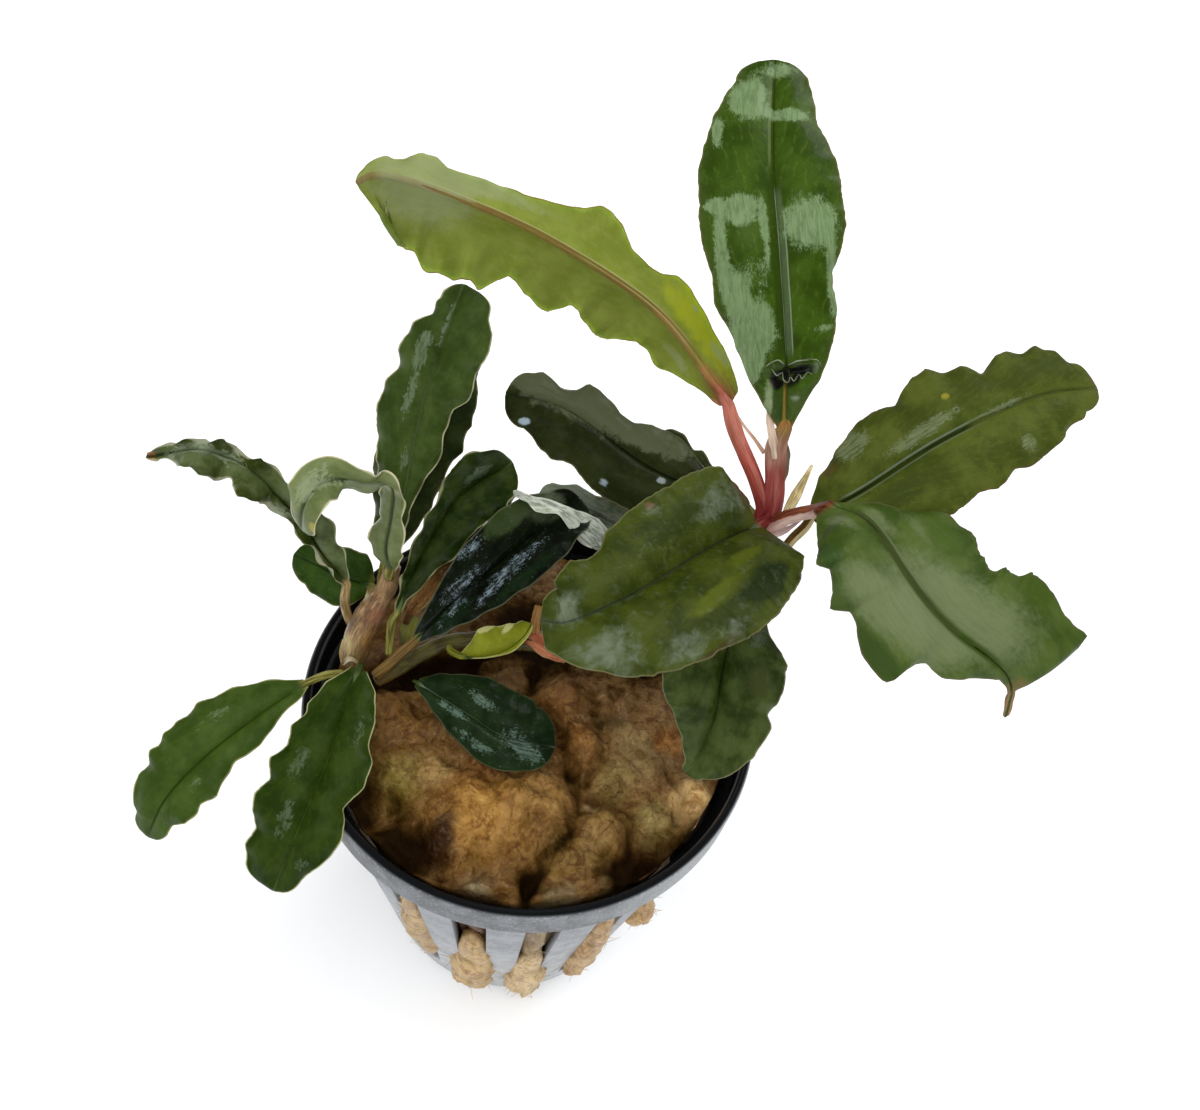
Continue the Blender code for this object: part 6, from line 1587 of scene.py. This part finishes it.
def tuft(turn_deg, high, low, reach, width, seed):
    """A ragged bulge of wool that swells out of a slot, fuller towards its lower end."""
    rows, columns = 34, 30
    up = np.linspace(0.02, math.pi - 0.02, rows)[:, None]
    turns = round_turns(columns)[None]
    ball = stacked(np.sin(up) * np.cos(turns), np.sin(up) * np.sin(turns), np.cos(up))
    share = (1 - ball[..., 2]) / 2
    level = (high + low) / 2 + ball[..., 2] * ((high - low) / 2)
    full = 0.7 + 0.3 * smooth(0.1, 0.7, share)
    outward, sideways = facing(turn_deg)
    middle = wall_radius(level) - 0.9
    points = outward * (middle + ball[..., 0] * reach * full + 0.15 * reach * share)[..., None]
    points = points + sideways * (ball[..., 1] * width * full)[..., None] + UP * level[..., None]
    lumps = layered(points * 0.42, 40 + seed, 3, 0.4)
    normal = outward * ball[..., :1] + sideways * ball[..., 1:2] + 0.5 * UP * ball[..., 2:]
    rise = 0.42 * lumps * np.clip(width, 1.0, 3.0) * 0.5 * np.sin(up) ** 0.5
    points = points + normal * rise[..., None]
    # Short points of fibre stand out at the lower end
    spikes = smooth(0.35, 0.75, layered(stacked(turns * 1.3, 0.0, up * 1.1), 70 + seed, 2))
    spikes = spikes * smooth(0.6, 0.9, share)
    points = points + (normal * 0.8 - 0.5 * UP) * spikes[..., None] * 1.1
    faces = grid_faces(rows, columns, closed=True)
    faces.append(tuple(range(columns)))
    faces.append(tuple(range(rows * columns - 1, (rows - 1) * columns - 1, -1)))
    # Painted shade in the dips between lumps and towards the tuft's top
    painted_dip_shade = 0.4 * smooth(0.05, -0.7, lumps) + 0.25 * smooth(0.25, 0.0, share)
    return points.reshape(-1, 3), faces, np.clip(painted_dip_shade, 0, 1).ravel()


def fuzz(surface, count, outward, seed):
    """Loose fibres round a tuft, lying along it and standing out a little at their ends."""
    source = np.random.default_rng(90 + seed)
    sideways = np.cross(UP, outward)
    middle = surface.mean(axis=0)
    pieces = []
    while len(pieces) < count:
        start = surface[source.integers(60, len(surface))]
        away = start - middle
        if away @ outward < -0.2:
            continue
        heading = unit(source.normal(0, 1, 3) + unit(away) * 0.5 - 0.4 * UP)
        bend = sideways * source.normal(0, 0.7) + UP * source.normal(-0.3, 0.5)
        length = source.uniform(0.8, 2.2)
        t = np.linspace(0, 1, FIBRE_POINTS)[:, None]
        path = start + heading * length * (t - 0.4) + bend * length * 0.5 * t ** 2
        path += outward * (0.15 - np.minimum((path - start) @ outward, 0.0))[:, None]
        radii = [0.03] * (FIBRE_POINTS - 1) + [0.012]
        pieces.append(tube(path, unit(np.gradient(path, axis=0)), radii, outward[None], FIBRE_SIDES))
    return joined(pieces)


def fibres_on(top):
    """Loose fibres lying on the wool, thin bent strands: points, faces, brightness and painted shade."""
    source = np.random.default_rng(7)
    pieces, shades, painted_shades = [], [], []
    for _ in range(LOOSE_FIBRES):
        start = top[source.integers(len(top) // 6, len(top))]
        heading = source.uniform(0, 2 * math.pi)
        bend = source.normal(0, 0.5)
        length = source.uniform(0.7, 2.0)
        thick = source.uniform(0.02, 0.042)
        shade = source.uniform(0, 1)
        rise = source.uniform(0.0, 0.2)
        t = np.linspace(0, 1, FIBRE_POINTS)
        x = start[0] + np.cos(heading + bend * t) * length * (t - 0.5)
        y = start[1] + np.sin(heading + bend * t) * length * (t - 0.5)
        if np.hypot(x, y).max() > wool_edge() - 0.3:
            continue
        height, dark = wool_surface(x, y)
        path = stacked(x, y, height + 0.01 + rise * np.sin(math.pi * t))
        radii = [thick] * FIBRE_POINTS
        pieces.append(tube(path, unit(np.gradient(path, axis=0)), radii, UP[None], FIBRE_SIDES))
        shades.append(shade)
        painted_shades.append(dark)
    points, faces = joined(pieces)
    shades = np.repeat(shades, FIBRE_POINTS * FIBRE_SIDES)
    return points, faces, shades, np.repeat(np.concatenate(painted_shades), FIBRE_SIDES)


def floor():
    """A plain pale floor."""
    finish = Finish("floor_paper")
    around = finish.step("TexCoord", {}, output=3)
    tone = finish.ramp(finish.noise(around, 40.0, detail=2.0), 0.3, 0.7)
    finish.set(Base_Color=finish.mix(tone, (0.9, 0.9, 0.9), (0.92, 0.92, 0.92)))
    finish.shader.inputs["Roughness"].default_value = 0.9
    finish.shader.inputs["Specular IOR Level"].default_value = 0.1
    mesh = bpy.data.meshes.new("floor")
    corners = [(x * FLOOR_HALF_M, y * FLOOR_HALF_M, 0) for x, y in ((-1, -1), (1, -1), (1, 1), (-1, 1))]
    mesh.from_pydata(corners, [], [(0, 1, 2, 3)])
    mesh.materials.append(finish.material)
    made = bpy.data.objects.new("floor", mesh)
    bpy.context.collection.objects.link(made)


def soft_sun(name, azimuth_deg, elevation_deg, strength, spread_deg, mirrored):
    """Light from a wide patch of sky; azimuth 0 is the back, 90 the right."""
    sun = bpy.data.lights.new(name, "SUN")
    sun.energy = strength
    sun.angle = math.radians(spread_deg)
    holder = bpy.data.objects.new(name, sun)
    turn, lift = math.radians(azimuth_deg), math.radians(elevation_deg)
    towards = Vector((math.sin(turn) * math.cos(lift), math.cos(turn) * math.cos(lift), math.sin(lift)))
    holder.rotation_mode = "QUATERNION"
    holder.rotation_quaternion = towards.to_track_quat("Z", "Y")
    holder.visible_glossy = mirrored
    bpy.context.collection.objects.link(holder)


def lights():
    """Soft light from wide patches of sky, and a pale room."""
    for light in SUNS:
        soft_sun(*light)
    world = bpy.data.worlds.new("room")
    world.use_nodes = True
    tree = world.node_tree
    background = tree.nodes["Background"]
    background.inputs["Color"].default_value = (0.93, 0.96, 1.0, 1.0)
    # The room is white to the camera, dim in reflections and middling as light
    path = tree.nodes.new("ShaderNodeLightPath")
    level = None
    for output, strength in (("Is Glossy Ray", ROOM_GLOSS), ("Is Camera Ray", ROOM_SEEN)):
        pick = tree.nodes.new("ShaderNodeMapRange")
        pick.inputs["To Min"].default_value = ROOM_LIGHT
        pick.inputs["To Max"].default_value = strength
        tree.links.new(path.outputs[output], pick.inputs["Value"])
        if level:
            tree.links.new(level, pick.inputs["To Min"])
        level = pick.outputs[0]
    tree.links.new(level, background.inputs["Strength"])
    bpy.context.scene.world = world
    bpy.context.scene.view_settings.view_transform = "Standard"


def camera():
    """The photograph's view: from the front and above, turned a little about its own axis."""
    lift, roll = math.radians(CAMERA_LIFT_DEG), math.radians(CAMERA_ROLL_DEG)
    back = Vector((0, -math.cos(lift), math.sin(lift)))
    level = Vector((1, 0, 0))
    raised = back.cross(level)
    right = level * math.cos(roll) + raised * math.sin(roll)
    turned = Matrix((right, back.cross(right), back)).transposed().to_4x4()
    data = bpy.data.cameras.new("camera")
    data.sensor_width = 36.0
    data.lens = CAMERA_FOCUS_PX / CAMERA_IMAGE_PX * data.sensor_width
    data.clip_start = 0.005
    holder = bpy.data.objects.new("camera", data)
    holder.matrix_world = Matrix.Translation(Vector(CAMERA_PLACE) * MM) @ turned
    bpy.context.collection.objects.link(holder)
    bpy.context.scene.camera = holder


def main():
    camera()
    floor()
    lights()
    pot()
    wool()
    stems()
    for number, node in enumerate(LEAVES):
        leaf(node, number)


main()
